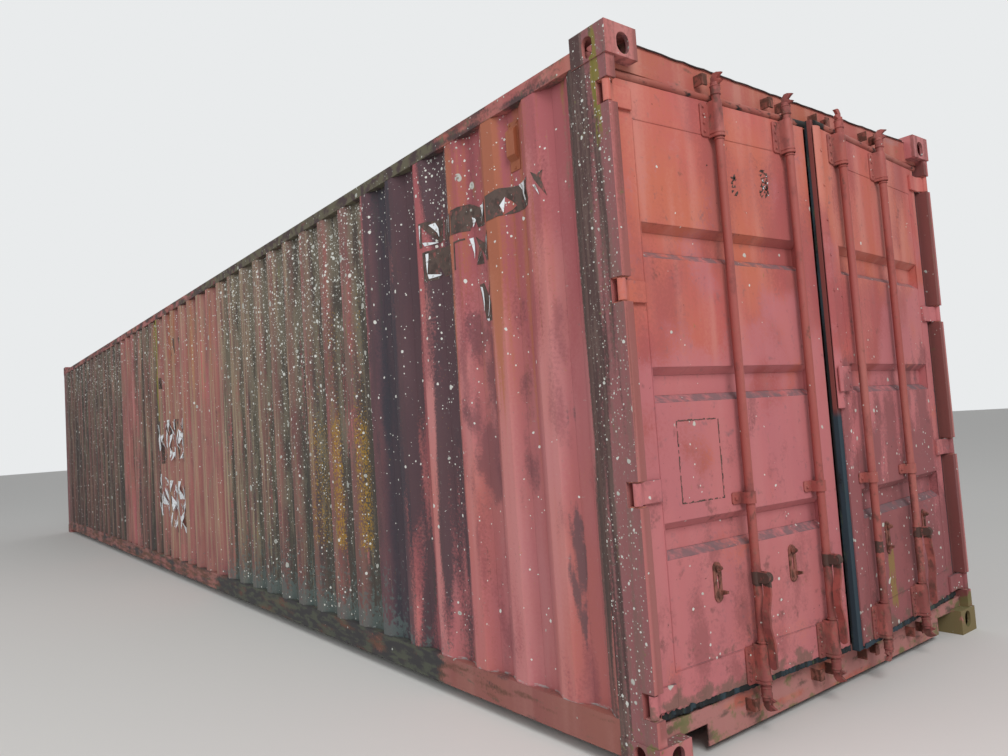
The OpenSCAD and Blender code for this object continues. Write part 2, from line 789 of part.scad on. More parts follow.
// The door panel: one sheet with three sunk bands across it.
module door_panel(side, ajar) {
  z0 = door_z + door_rail_h;
  z1 = door_top - door_rail_h;
  panel_l = centre_u - edge_u - hinge_stile_w - centre_stile_w;
  bays = [for (z = band_zs) each bay(z - band_h / 2, band_slope, band_h - 2 * band_slope, band_depth)];
  color(c_paint) on_door(side, ajar)
    translate([edge_u + hinge_stile_w, face_v, 0]) rotate([0, -90, 180])
      linear_extrude(panel_l) sheet_2d(z0, z1, bays, sheet_t);
}

module left_door_panel() door_panel(left, left_ajar);
module right_door_panel() door_panel(right, right_ajar);

// The rubber seal round a door's edge, ending at centre_end on the side next to the other door.
module door_seal(side, ajar, centre_end) {
  hinge_end = side_inset + post_w + seal_gap - pin_inset;
  z0 = sill_top + seal_gap;
  z1 = header_z - seal_gap;
  color(c_rubber) on_door(side, ajar) translate([0, seal_v, 0]) rotate([90, 0, 0])
    linear_extrude(seal_d) difference() {
      translate([hinge_end, z0]) square([centre_end - hinge_end, z1 - z0]);
      translate([edge_u, door_z]) square([centre_u - edge_u, door_h]);
    }
}

module left_door_seal() door_seal(left, left_ajar, pin_y - cover_past - centre_seal_gap);
module right_door_seal() door_seal(right, right_ajar, pin_y + cover_past);

// The moving half of the hinges: a knuckle, an arm and a plate on the door's face.
module hinge_blades(side, ajar) {
  color(c_paint) on_door(side, ajar) for (z = hinge_zs)
    translate([0, 0, z - blade_h / 2]) linear_extrude(blade_h) difference() {
      union() {
        circle(r = knuckle_r);
        polygon([
          [0, -knuckle_r], [blade_bend, face_v], [blade_bend, face_v + blade_t],
          [(pin_r + knuckle_r) / 2, 0]
        ]);
        translate([blade_bend - eps, face_v]) square([blade_reach - blade_bend + eps, blade_t]);
      }
      circle(r = pin_r + run_gap);
    }
}

module left_hinge_blades() hinge_blades(left, left_ajar);
module right_hinge_blades() hinge_blades(right, right_ajar);

// Plan of a rod bearing: a block bored for the rod, with a bolted flange on one side.
module bearing_2d(flange_dir) {
  difference() {
    union() {
      circle(r = bearing_r);
      translate([-bearing_r, face_v - rod_v]) square([2 * bearing_r, rod_v - face_v]);
      mirror([flange_dir > 0 ? 0 : 1, 0])
        translate([0, face_v - rod_v]) square([bearing_r + flange_w, flange_t]);
    }
    circle(r = rod_r + run_gap);
  }
}

// Top and bottom bearings and a middle guide for each rod of a door.
module rod_bearings(side, ajar) {
  color(c_paint) on_door(side, ajar) for (y = rod_ys) translate([pin_y - y, rod_v, 0])
    for (b = [[bearing_bottom_z, bearing_h], [guide_z, guide_h], [bearing_top_z, bearing_h]])
      translate([0, 0, b[0]]) linear_extrude(b[1]) bearing_2d(side);
}

module left_rod_bearings() rod_bearings(left, left_ajar);
module right_rod_bearings() rod_bearings(right, right_ajar);

// A handle catch: a slotted plate with round ends, a hook under the stowed handle and a pivot above.
module handle_catch() {
  end_r = catch_w / 2;
  translate([0, catch_t, 0]) rotate([90, 0, 0]) linear_extrude(catch_t) difference() {
    union() {
      translate([-end_r, end_r]) square([catch_w, catch_h - catch_w]);
      for (z = [end_r, catch_h - end_r]) translate([0, z]) circle(r = end_r);
    }
    translate([-catch_slot_w / 2, (catch_h - catch_slot_h) / 2]) square([catch_slot_w, catch_slot_h]);
  }
  translate([end_r - catch_hook_t, 0, 0]) rotate([90, 0, 90]) linear_extrude(catch_hook_t)
    polygon([
      [0, end_r], [catch_hook_l, catch_hook_top - catch_hook_t],
      [catch_hook_l, catch_hook_top], [0, catch_hook_top]
    ]);
  translate([0, 0, catch_h - end_r]) rotate([-90, 0, 0])
    cylinder(r = catch_pivot_r, h = catch_pivot_l);
}

module handle_catches(side, ajar) {
  color(c_rust) on_door(side, ajar) for (y = rod_ys)
    translate([pin_y - y - catch_offset, face_v, catch_z]) handle_catch();
}

module left_handle_catches() handle_catches(left, left_ajar);
module right_handle_catches() handle_catches(right, right_ajar);

// The crowned strip that covers the right door's meeting edge.
module right_cover_strip() {
  cover_r = (cover_w * cover_w / 4 + cover_h * cover_h) / (2 * cover_h);
  color(c_paint) on_door(right, right_ajar)
    translate([pin_y + cover_past - cover_w / 2, face_v, cover_z])
      linear_extrude(door_top - cover_z) intersection() {
        translate([0, cover_h - cover_r]) circle(r = cover_r, $fn = 96);
        translate([-cover_w / 2, 0]) square([cover_w, cover_h]);
      }
}

// A plate over the cover strip, stood off on a packer beside it.
module tamper_plate() color(c_paint) on_door(right, right_ajar)
  translate([pin_y + cover_past - cover_w - tamper_foot, face_v, tamper_z]) {
    cube([tamper_foot, cover_h, tamper_h]);
    translate([0, cover_h, 0]) cube([tamper_foot + cover_w, tamper_t, tamper_h]);
  }

// Side view of a forked cam that points out of the door: X is the distance from the rod axis.
module cam_2d() {
  edge = cam_h / 2;
  notch = (cam_fork + cam_reach) / 2;
  polygon([
    [-cam_heel, cam_tip - edge], [0, -edge], [cam_fork, -edge], [cam_reach, -cam_tip],
    [notch, cam_tip - edge], [cam_fork, 0], [notch, edge - cam_tip],
    [cam_reach, cam_tip], [cam_fork, edge], [0, edge], [-cam_heel, edge - cam_tip]
  ]);
}

// A hub for a handle: a collar, two cheeks and the pin between them.
module hub() {
  cheek_in = handle_t / 2 + eye_gap;
  cheek_out = cheek_in + cheek_t;
  for (s = [0, 1]) mirror([s, 0, 0]) translate([cheek_in, 0, 0]) rotate([90, 0, 90])
    linear_extrude(cheek_t) {
      translate([0, -eye_r]) square([hub_reach, 2 * eye_r]);
      translate([hub_reach, 0]) circle(r = eye_r);
    }
  translate([-cheek_out, hub_reach, 0]) rotate([0, 90, 0])
    cylinder(r = handle_pin_r, h = 2 * cheek_out);
  translate([0, 0, -hub_h / 2]) cylinder(r = collar_r, h = hub_h);
}

// A lock rod with its two welded cams, and a hub where the handle is still there.
module lock_rod(side, ajar, y, turn, with_hub) {
  color(c_paint) on_door(side, ajar) translate([pin_y - y, rod_v, 0]) rotate([0, 0, turn])
    difference() {
      union() {
        translate([0, 0, rod_z]) cylinder(r = rod_r, h = rod_top - rod_z);
        for (z = cam_zs) translate([-cam_t / 2, 0, z]) rotate([90, 0, 90])
          linear_extrude(cam_t) cam_2d();
        for (z = [cam_zs[0] + cam_h / 2, cam_zs[1] - cam_h / 2 - end_collar_h])
          translate([0, 0, z]) cylinder(r = collar_r, h = end_collar_h);
        if (with_hub) translate([0, 0, hub_z]) hub();
      }
      translate([0, 0, rod_z + rod_t]) cylinder(r = rod_r - rod_t, h = rod_top - rod_z - 2 * rod_t);
    }
}

module lock_rod_left_outer() lock_rod(left, left_ajar, rod_outer_y, 0, true);
module lock_rod_left_inner() lock_rod(left, left_ajar, rod_inner_y, 0, true);
module lock_rod_right_inner() lock_rod(right, right_ajar, rod_inner_y, loose_turn, false);
module lock_rod_right_outer() lock_rod(right, right_ajar, rod_outer_y, 0, true);

// Side view of a handle hanging from its pin.
module handle_2d() {
  end_r = handle_w / 2;
  difference() {
    union() {
      circle(r = eye_r);
      translate([-end_r, end_r - handle_l]) square([handle_w, handle_l - end_r]);
      translate([0, end_r - handle_l]) circle(r = end_r);
    }
    circle(r = handle_pin_r + run_gap);
  }
}

// Edge view of a handle: a flat bar, bowed towards the hinge side.
module handle_edge_2d() {
  near = handle_t / 2;
  z1 = -handle_bow_at;
  z2 = z1 - handle_bow_slope;
  z3 = z2 - handle_bow_l;
  z4 = z3 - handle_bow_slope;
  polygon([
    [-near, eye_r], [-near, z1], [-near - handle_bow, z2], [-near - handle_bow, z3], [-near, z4],
    [-near, -handle_l], [near, -handle_l], [near, z4], [near - handle_bow, z3],
    [near - handle_bow, z2], [near, z1], [near, eye_r]
  ]);
}

module handle(side, ajar, y) {
  width = 2 * (handle_bow + handle_t);
  color(c_paint) on_door(side, ajar) translate([pin_y - y, rod_v + hub_reach, hub_z]) intersection() {
    translate([-width / 2, 0, 0]) rotate([90, 0, 90]) linear_extrude(width) handle_2d();
    translate([0, eye_r, 0]) rotate([90, 0, 0]) linear_extrude(2 * eye_r) handle_edge_2d();
  }
}

module handle_left_outer() handle(left, left_ajar, rod_outer_y);
module handle_left_inner() handle(left, left_ajar, rod_inner_y);
module handle_right_outer() handle(right, right_ajar, rod_outer_y);

rear_top_fittings();
rear_bottom_fittings();
front_top_fittings();
front_bottom_fittings();
rear_post_left();
rear_post_right();
door_header();
door_sill();
front_posts();
front_header();
front_sill();
top_rail_left();
top_rail_right();
bottom_rail_left();
bottom_rail_right();
side_wall_left();
side_wall_right();
front_wall();
roof();
floor_boards();
cross_members();
vents();
hinge_pins();
keepers();
left_door_frame();
left_door_panel();
left_door_seal();
left_hinge_blades();
left_rod_bearings();
left_handle_catches();
right_door_frame();
right_door_panel();
right_door_seal();
right_hinge_blades();
right_rod_bearings();
right_handle_catches();
right_cover_strip();
tamper_plate();
lock_rod_left_outer();
lock_rod_left_inner();
lock_rod_right_inner();
lock_rod_right_outer();
handle_left_outer();
handle_left_inner();
handle_right_outer();
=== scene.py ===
# A weathered 40 ft dry freight container with its two doors ajar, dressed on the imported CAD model.
# Everything is in metres: X runs along the box with the doors at +X, Y across it, and Z up.
import math
import random

import bmesh
import bpy
from mathutils import Matrix, Vector


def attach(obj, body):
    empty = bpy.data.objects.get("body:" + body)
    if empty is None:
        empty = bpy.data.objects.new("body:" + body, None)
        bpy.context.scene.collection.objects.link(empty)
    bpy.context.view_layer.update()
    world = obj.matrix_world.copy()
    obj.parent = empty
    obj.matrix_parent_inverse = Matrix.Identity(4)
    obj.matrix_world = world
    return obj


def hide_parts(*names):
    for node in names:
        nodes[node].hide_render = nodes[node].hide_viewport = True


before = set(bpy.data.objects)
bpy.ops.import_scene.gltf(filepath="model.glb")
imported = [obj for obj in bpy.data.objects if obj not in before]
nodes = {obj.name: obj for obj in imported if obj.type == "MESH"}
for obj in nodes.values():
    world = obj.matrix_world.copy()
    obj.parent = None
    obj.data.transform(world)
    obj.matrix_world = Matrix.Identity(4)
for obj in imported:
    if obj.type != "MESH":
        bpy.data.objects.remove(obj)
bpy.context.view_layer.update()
door_end = 6.096  # X of the outer faces of the corner fittings at the doors


# Side walls: rolled sheet steel, welded in and sprayed with oxide red paint, which has chalked and
# faded. Rain has drawn rust, soot, moss and algae down it in long streaks, which change from one
# corrugation to the next, and crusts of lichen sit on it as pale spots.
def linear(hex_colour):
    """An sRGB hex colour as linear red, green, blue and alpha."""
    parts = [int(hex_colour[k : k + 2], 16) / 255 for k in (1, 3, 5)]
    return (*[p / 12.92 if p <= 0.04045 else ((p + 0.055) / 1.055) ** 2.4 for p in parts], 1.0)


def add(tree, kind, links=None, stops=None, **settings):
    """Adds one shader node: its settings, its inputs as values or sockets, and a ramp's stops."""
    made = tree.nodes.new("ShaderNode" + kind)
    for name, value in settings.items():
        setattr(made, name, value)
    for key, value in (links or {}).items():
        if isinstance(value, bpy.types.NodeSocket):
            tree.links.new(value, made.inputs[key])
        else:
            made.inputs[key].default_value = value
    if stops:
        marks = made.color_ramp.elements
        while len(marks) < len(stops):
            marks.new(0.5)
        for mark, (place, amount) in zip(marks, stops):
            mark.position = place
            mark.color = (amount, amount, amount, 1.0)
    return made


def compute(tree, operation, *values):
    """The result of one maths node on numbers or sockets."""
    return add(tree, "Math", dict(enumerate(values)), operation=operation).outputs[0]


def blend(tree, mask, first, second):
    """Mixes the second colour into the first where the mask is 1."""
    return add(tree, "Mix", {0: mask, 6: first, 7: second}, data_type="RGBA").outputs[2]


def along(tree, value, places):
    """Reads an amount off a list of (metres, amount) along one direction of the object."""
    start, end = places[0][0], places[-1][0]
    share = add(tree, "MapRange", {"Value": value, "From Min": start, "From Max": end}).outputs[0]
    stops = [((metres - start) / (end - start), amount) for metres, amount in places]
    return add(tree, "ValToRGB", {"Fac": share}, stops=stops).outputs[0]


def times(tree, *masks):
    """The overlap of several masks."""
    out = masks[0]
    for mask in masks[1:]:
        out = compute(tree, "MULTIPLY", out, mask)
    return out


def grown(tree, at, share, size, edge=0.1):
    """Mask of ragged patches, size metres across in each direction, over that share of the skin."""
    spread = add(tree, "Mapping", {"Vector": at, "Scale": [1 / s for s in size]}).outputs[0]
    broad = add(tree, "TexNoise", {"Vector": spread, "Scale": 1.0, "Detail": 2.0}).outputs[0]
    speckle = tree.nodes.get("speckle") or add(
        tree, "TexNoise", {"Vector": at, "Scale": 80.0, "Detail": 3.0, "Roughness": 0.65},
        name="speckle",
    )
    noise = compute(tree, "MULTIPLY_ADD", speckle.outputs[0], 0.3, broad)
    level = compute(tree, "MULTIPLY_ADD", share, -0.6, 0.95 - edge)
    full = compute(tree, "ADD", level, 2 * edge)
    return add(
        tree, "MapRange", {"Value": noise, "From Min": level, "From Max": full},
        interpolation_type="SMOOTHSTEP",
    ).outputs[0]


def crusts(tree, at, pitch, radius, share):
    """Mask of round crusts: pitch and largest radius in metres, and the share of places taken."""
    ragged = add(tree, "TexNoise", {"Vector": at, "Scale": 1.6 / pitch, "Detail": 1.0}).outputs[1]
    shifted = add(
        tree, "VectorMath", {0: ragged, 1: (0.35 * pitch,) * 3, 2: at}, operation="MULTIPLY_ADD"
    ).outputs[0]
    cells = add(tree, "TexVoronoi", {"Vector": shifted, "Scale": 1 / pitch})
    chance = add(tree, "SeparateColor", {0: cells.outputs["Color"]})
    apart = times(tree, chance.outputs[1], chance.outputs[2])
    reach = times(tree, compute(tree, "MULTIPLY_ADD", apart, 0.8, 0.4), radius / pitch)
    within = compute(tree, "SUBTRACT", reach, cells.outputs["Distance"])
    round_edge = add(tree, "Math", {0: within, 1: 20.0}, operation="MULTIPLY", use_clamp=True)
    taken = compute(tree, "LESS_THAN", chance.outputs[0], share)
    return times(tree, round_edge.outputs[0], taken)


def lay(tree, surface, mask, colour, roughness=0.85, thickness=0.0):
    """Lays a coat where the mask is 1, with its colour, its roughness and its thickness in mm."""
    paint, rough, height = surface
    paint = blend(tree, mask, paint, linear(colour))
    rough = add(tree, "Mix", {0: mask, 2: rough, 3: roughness}).outputs[0]
    if thickness:
        height = compute(tree, "MULTIPLY_ADD", mask, thickness, height)
    return paint, rough, height


def coats(tree, surface, at, rough, rows, *places):
    """Lays coats of dirt in some places: their colour, thickness, size, strength and share."""
    for colour, thick, size, strength, share in rows:
        mask = grown(tree, at, times(tree, *places, share), size)
        surface = lay(tree, surface, times(tree, mask, strength), colour, rough, thick)
    return surface


def spots(tree, surface, at, pitch, radius, share, colour, thick=0.0):
    """Lays round crusts of lichen."""
    return lay(tree, surface, crusts(tree, at, pitch, radius, share), colour, 0.95, thick)


def begin(name):
    """Starts a material: its node tree, its place on the object, and that place's X, Y and Z."""
    material = bpy.data.materials.new(name)
    material.use_nodes = True
    tree = material.node_tree
    tree.nodes.clear()
    at = add(tree, "TexCoord").outputs["Object"]
    place = add(tree, "SeparateXYZ", {0: at}).outputs
    return material, tree, at, place


def close(tree, surface, bend):
    """Ends a material with its shader: bend is the radius in metres that its edges are rounded to."""
    paint, rough, height = surface
    edge = add(tree, "Bevel", {"Radius": bend}, samples=4).outputs[0]
    relief = add(
        tree, "Bump", {"Height": height, "Distance": 0.001, "Strength": 1.0, "Normal": edge}
    ).outputs[0]
    shader = add(
        tree, "BsdfPrincipled",
        {"Base Color": paint, "Roughness": rough, "Normal": relief, "Specular IOR Level": 0.35},
    )
    add(tree, "OutputMaterial", {"Surface": shader.outputs[0]})


def dress(material, *names):
    """Gives CAD nodes their material."""
    for name in names:
        for slot in nodes[name].material_slots:
            slot.material = material


def chalky_paint(tree, at, first, second, faded):
    """Oxide red paint: two tones in soft clouds and streaks, fading, fine grain and slow dents."""
    body = grown(tree, at, 0.5, (0.4, 0.4, 0.7), 0.18)
    paint = blend(tree, body, linear(first), linear(second))
    worn = grown(tree, at, 0.5, (0.15, 0.15, 0.4), 0.2)
    level = add(tree, "MapRange", {"Value": worn, "To Min": 0.5, "To Max": 0.75}).outputs[0]
    dents = add(tree, "TexNoise", {"Vector": at, "Scale": 2.2, "Detail": 1.0}).outputs[0]
    surface = paint, level, times(tree, dents, 9.0)
    streak = grown(tree, at, 0.42, (0.09, 0.09, 1.1), 0.16)
    return lay(tree, surface, times(tree, streak, 0.5), faded, 0.75, 0.02)


def skin_direction(tree):
    """The direction that the skin faces, as X, Y and Z."""
    faces = add(tree, "NewGeometry").outputs["True Normal"]
    return add(tree, "SeparateXYZ", {0: faces}).outputs


def outward(tree, place, axis):
    """1 on the skin that faces away from the middle of the box along one axis, and 0 inside it."""
    return compute(tree, "GREATER_THAN", times(tree, skin_direction(tree)[axis], place[axis]), 0.0)


wall_enamel, tree, at, place = begin("oxide_red_enamel_on_corrugated_sheet_steel")
surface = chalky_paint(tree, at, "#B4686B", "#B4675F", "#C68B8B")
depth = compute(tree, "SUBTRACT", door_end, place[0])
reach = compute(tree, "ABSOLUTE", place[1])
trough = add(tree, "MapRange", {"Value": reach, "From Min": 1.212, "From Max": 1.186}).outputs[0]
crest = add(tree, "MapRange", {"Value": reach, "From Min": 1.208, "From Max": 1.217}).outputs[0]
outside = outward(tree, place, 1)
# Painted shade: the troughs of the corrugations are darkened.
surface = lay(tree, surface, times(tree, trough, outside, 0.4), "#8C5257")
# Painted highlight, with the paint's chalking: the crests of the corrugations are lightened.
surface = lay(tree, surface, times(tree, crest, outside, 0.25), "#C08079")
# Each coat of dirt: its colour, roughness and thickness, the size of its patches, how strong it is,
# how much of that it keeps on the crests and in the troughs of the corrugations, and the share of the
# skin that it takes by depth from the doors and by height. Only the moss is thick enough to stand out.
for colour, rough, thick, size, strength, on_crest, in_trough, by_depth, by_height in (
    ("#9C5257", 0.8, 0.0, (0.2, 0.3, 0.9), 0.8, 1.0, 1.0,
     [(0, 0.8), (1.3, 0.8), (1.8, 0.3), (12.2, 0.3)],
     [(0, 0.2), (1.2, 0.2), (1.8, 0.6), (2.0, 0.9), (2.6, 1.1)]),
    ("#8F645C", 0.85, 0.0, (0.1, 0.3, 1.2), 0.85, 1.0, 0.8,
     [(0, 0.0), (1.3, 0.0), (1.8, 0.5), (4.25, 0.8), (4.4, 0.85), (6.2, 0.8), (7.3, 0.7), (7.4, 0.7),
      (7.9, 0.7), (8.0, 0.8), (12.2, 0.8)],
     [(0, 1.0), (2.6, 0.8)]),
    ("#A4663C", 0.8, 0.0, (0.04, 0.3, 1.3), 0.62, 1.0, 0.8,
     [(0.2, 0.15), (0.46, 0.25), (0.49, 0.6), (0.58, 0.45), (0.64, 0.4), (0.7, 0.85), (0.75, 1.0),
      (0.78, 0.2), (1.0, 0.3), (1.03, 0.9), (1.1, 0.8), (1.14, 0.1), (1.3, 0.0), (1.9, 0.1), (4.3, 0.25),
      (5.5, 0.45), (7.3, 0.2), (12.2, 0.2)],
     [(0, 0.1), (0.9, 0.3), (1.5, 0.65), (2.1, 1.0), (2.6, 1.05)]),
    ("#7C464C", 0.8, 0.0, (0.12, 0.3, 0.45), 0.6, 1.0, 1.0,
     [(0.2, 0.3), (0.44, 0.3), (0.5, 0.12), (0.7, 0.12), (0.76, 0.4), (1.03, 0.5), (1.3, 0.3),
      (1.36, 0.6), (1.8, 0.6), (4.3, 0.35), (12.2, 0.4)],
     [(0, 0.9), (0.6, 0.9), (1.7, 0.85), (2.3, 0.7), (2.6, 0.9)]),
    ("#5E3F45", 0.85, 0.0, (0.12, 0.3, 0.22), 0.6, 1.0, 1.0,
     [(0.53, 0.0), (0.57, 0.5), (0.63, 0.4), (0.66, 0.05), (0.76, 0.1), (0.8, 0.65), (0.93, 0.55),
      (1.0, 0.2)],
     [(0.5, 0.0), (0.8, 0.35), (0.95, 1.0), (1.6, 0.9), (1.75, 0.3), (1.9, 0.0)]),
    ("#51464B", 0.85, 0.0, (0.03, 0.3, 0.2), 0.75, 1.0, 1.0,
     [(0.30, 0.0), (0.335, 0.7), (0.375, 0.7), (0.41, 0.0)],
     [(0.3, 0.0), (0.45, 0.5), (0.6, 0.9), (0.85, 0.8), (0.95, 0.3), (1.25, 0.45), (1.35, 0.0)]),
    ("#453A40", 0.85, 0.0, (0.12, 0.3, 0.8), 0.9, 1.0, 1.0,
     [(1.0, 0.0), (1.05, 0.75), (1.1, 0.95), (1.24, 0.9), (1.3, 0.15), (1.34, 0.0), (1.38, 0.85),
      (1.55, 1.0), (1.6, 0.6), (1.86, 0.3), (1.9, 0.2), (4.3, 0.25), (4.4, 0.05), (7.4, 0.0), (8.1, 0.25),
      (12.2, 0.3)],
     [(0, 0.5), (0.5, 0.55), (0.9, 0.7), (1.3, 0.9), (1.9, 1.0), (2.04, 0.75), (2.2, 0.9), (2.6, 1.1)]),
    ("#38373F", 0.85, 0.0, (0.09, 0.3, 2.0), 0.92, 0.85, 1.0,
     [(1.5, 0.0), (1.56, 0.7), (1.6, 1.1), (1.8, 1.1), (1.84, 0.8), (1.88, 0.3), (4.25, 0.3), (4.4, 0.05),
      (6.1, 0.1), (6.4, 0.4), (7.3, 0.35), (7.38, 0.0), (7.9, 0.0), (8.0, 0.45), (12.2, 0.45)],
     [(0, 1.1), (0.9, 1.0), (2.6, 1.0)]),
    ("#43453F", 0.95, 0.0, (0.06, 0.1, 0.9), 0.92, 0.5, 1.0,
     [(0.165, 0.0), (0.18, 0.9), (0.215, 0.9), (0.24, 0.0), (1.82, 0.1), (1.88, 0.85), (4.2, 0.75),
      (4.4, 0.1), (6.1, 0.2), (6.4, 0.7), (7.2, 0.65), (7.45, 0.2), (7.85, 0.2), (8.1, 1.2), (12.2, 1.25)],
     [(0, 1.1), (1.2, 0.9), (2.6, 1.0)]),
    ("#7C7464", 0.95, 0.5, (0.05, 0.1, 0.35), 0.7, 0.55, 0.9,
     [(1.82, 0.0), (1.88, 0.5), (4.2, 0.7), (4.4, 0.35), (6.1, 0.35), (6.4, 0.5), (7.3, 0.5), (7.38, 0.3),
      (7.9, 0.3), (8.0, 0.5), (12.2, 0.45)],
     [(0, 0.4), (0.7, 0.55), (1.2, 0.75), (2.6, 1.1)]),
    ("#AFA283", 0.95, 0.0, (0.02, 0.1, 0.9), 0.5, 1.0, 0.2,
     [(2.0, 0.0), (2.6, 0.25), (4.0, 0.5), (6.0, 0.5), (7.0, 0.3), (12.2, 0.2)],
     [(0, 0.5), (0.6, 1.0), (2.6, 0.9)]),
    ("#A5802E", 0.95, 0.0, (0.008, 0.02, 0.012), 0.75, 1.0, 1.0,
     [(1.94, 0.0), (2.0, 0.5), (2.07, 0.45), (2.1, 0.02), (2.28, 0.02), (2.31, 0.55), (2.36, 0.5),
      (2.4, 0.02), (2.5, 0.35), (2.68, 0.35), (2.72, 0.03), (6.2, 0.0)],
     [(0.5, 0.0), (0.6, 1.0), (1.25, 1.0), (1.4, 0.4), (1.9, 0.5), (2.1, 0.1)]),
    ("#85832E", 0.9, 0.0, (0.05, 0.1, 0.4), 0.8, 1.0, 0.8,
     [(6.24, 0.0), (6.3, 0.8), (6.42, 0.8), (6.5, 0.1), (6.7, 0.0)],
     [(0.3, 0.1), (1.2, 0.3), (1.7, 0.9), (2.6, 1.1)]),
    ("#5B6B69", 0.95, 0.0, (0.02, 0.03, 0.025), 0.65, 1.0, 1.0,
     [(1.0, 0.0), (1.5, 0.4), (1.9, 0.8), (4.2, 0.8), (4.6, 0.2), (12.2, 0.2)],
     [(0.15, 1.1), (0.2, 1.0), (0.27, 0.7), (0.36, 0.45), (0.9, 0.0)]),
    ("#483F3B", 0.9, 0.0, (0.03, 0.1, 0.5), 0.9, 1.0, 1.0,
     [(0.165, 1.1), (0.2, 1.1), (0.215, 0.7), (0.24, 0.0)],
     [(0, 0.5), (0.5, 0.6), (1.2, 0.9), (2.6, 1.0)]),
    ("#A9AEAD", 0.9, 0.0, (0.05, 0.1, 0.012), 0.7, 1.0, 1.0,
     [(0.2, 0.5), (1.3, 0.5), (1.5, 0.2), (12.2, 0.2)],
     [(0.165, 0.8), (0.176, 1.0), (0.184, 0.7), (0.194, 0.0)]),
    ("#9C9E95", 0.95, 0.0, (0.009, 0.009, 0.012), 0.7, 0.6, 1.0,
     [(0.165, 0.1), (0.18, 0.25), (0.215, 0.25), (0.235, 0.0), (0.8, 0.0), (1.03, 0.12), (1.3, 0.08),
      (1.36, 0.0), (1.8, 0.0), (1.88, 0.12), (2.2, 0.2), (2.7, 0.22), (4.2, 0.15), (4.4, 0.08), (6.2, 0.1),
      (7.3, 0.2), (8.0, 0.25), (12.2, 0.25)],
     [(0, 0.5), (0.5, 0.6), (1.0, 0.9), (2.6, 1.0)]),
):
    share = times(tree, along(tree, depth, by_depth), along(tree, place[2], by_height))
    kept = add(tree, "MapRange", {"Value": trough, "To Min": on_crest, "To Max": in_trough})
    mask = times(tree, grown(tree, at, share, size), kept.outputs[0], outside, strength)
    surface = lay(tree, surface, mask, colour, rough, thick)
crowd = grown(tree, at, 0.7, (0.1, 0.1, 0.25), 0.2)
damper = compute(tree, "MULTIPLY_ADD", crest, -0.55, 1.0)
lichen = times(
    tree, outside, crowd, damper,
    along(tree, depth, [
        (0, 0.1), (0.165, 0.3), (0.18, 0.6), (0.215, 0.6), (0.235, 0.03), (0.5, 0.06), (0.58, 0.45),
        (0.75, 0.4), (1.0, 0.6), (1.04, 1.3), (1.3, 1.0), (1.36, 0.4), (1.8, 0.4), (1.88, 2.0),
        (2.2, 3.0), (2.8, 3.0),
        (4.2, 2.0), (4.4, 0.5), (6.2, 0.9), (7.35, 1.0), (7.4, 0.3), (7.9, 0.3), (8.0, 1.6), (12.2, 1.4),
    ]),
    along(tree, place[2], [(0, 0.12), (0.9, 0.25), (1.5, 0.35), (1.95, 0.5), (2.15, 1.0), (2.6, 1.2)]),
)
for pitch, radius, share, colour, thick in (
    (0.06, 0.020, 0.3, "#B4B6AF", 0.8), (0.06, 0.009, 0.3, "#8D8F86", 0.0),
    (0.03, 0.0105, 0.4, "#D2D4CE", 0.0), (0.016, 0.006, 0.7, "#D2D3CC", 0.0),
):
    surface = spots(tree, surface, at, pitch, radius, times(tree, lichen, share), colour, thick)
close(tree, surface, 0.008)
dress(wall_enamel, "side_wall_left", "side_wall_right")

# Front wall and roof: the same sheet steel. They have stood under trees, so moss and lichen have
# spread over the outside, and the inside is still clean paint.
for name, axis, moss_share in (("front_wall", 0, 0.45), ("roof", 2, 0.8)):
    skin, tree, at, place = begin("mossy_oxide_red_enamel_on_" + name)
    surface = chalky_paint(tree, at, "#A05A5A", "#A05C50", "#B87C74")
    outside = outward(tree, place, axis)
    size = (0.12, 0.1, 0.9) if axis == 0 else (0.16, 0.16, 0.16)
    for colour, thick, scale, share in (
        ("#744048", 0.0, 1.0, 0.5), ("#433F43", 0.1, 1.4, 0.4), ("#555348", 0.4, 0.7, moss_share),
        ("#757460", 0.6, 0.4, 0.6 * moss_share),
    ):
        mask = grown(tree, at, share, [scale * s for s in size])
        surface = lay(tree, surface, times(tree, mask, outside, 0.9), colour, 0.95, thick)
    lichen = times(tree, outside, grown(tree, at, 0.5, (0.2, 0.2, 0.2), 0.2))
    surface = spots(tree, surface, at, 0.07, 0.02, times(tree, lichen, 0.4), "#AFB2AA", 0.9)
    surface = spots(tree, surface, at, 0.025, 0.008, times(tree, lichen, 0.7), "#BFC1B9", 0.6)
    close(tree, surface, 0.006)
    dress(skin, name)

# Top side rails and front header: square tube, red near the doors and mossy beyond.
rail_enamel, tree, at, place = begin("mossy_red_enamel_on_rail_tube")
surface = chalky_paint(tree, at, "#A1585A", "#A35C4E", "#B67A72")
depth = compute(tree, "SUBTRACT", door_end, place[0])
aged = along(tree, depth, [(0, 0.35), (1.0, 0.45), (1.15, 0.7), (1.4, 0.95), (4.3, 0.9), (5.2, 0.5),
                           (12.2, 0.5)])
surface = coats(tree, surface, at, 0.9, (
    ("#6B4040", 0.0, (0.2, 0.1, 0.1), 0.8, 0.9), ("#40393A", 0.0, (0.2, 0.1, 0.06), 0.9, 0.95),
    ("#66624F", 0.4, (0.06, 0.05, 0.05), 0.8, 0.6),
), aged)
surface = spots(tree, surface, at, 0.06, 0.014, times(tree, aged, 0.3), "#AFB2AA", 0.8)
surface = spots(tree, surface, at, 0.02, 0.006, times(tree, aged, 0.5), "#BBBDB4", 0.5)
close(tree, surface, 0.003)
dress(rail_enamel, "top_rail_left", "top_rail_right", "front_header")

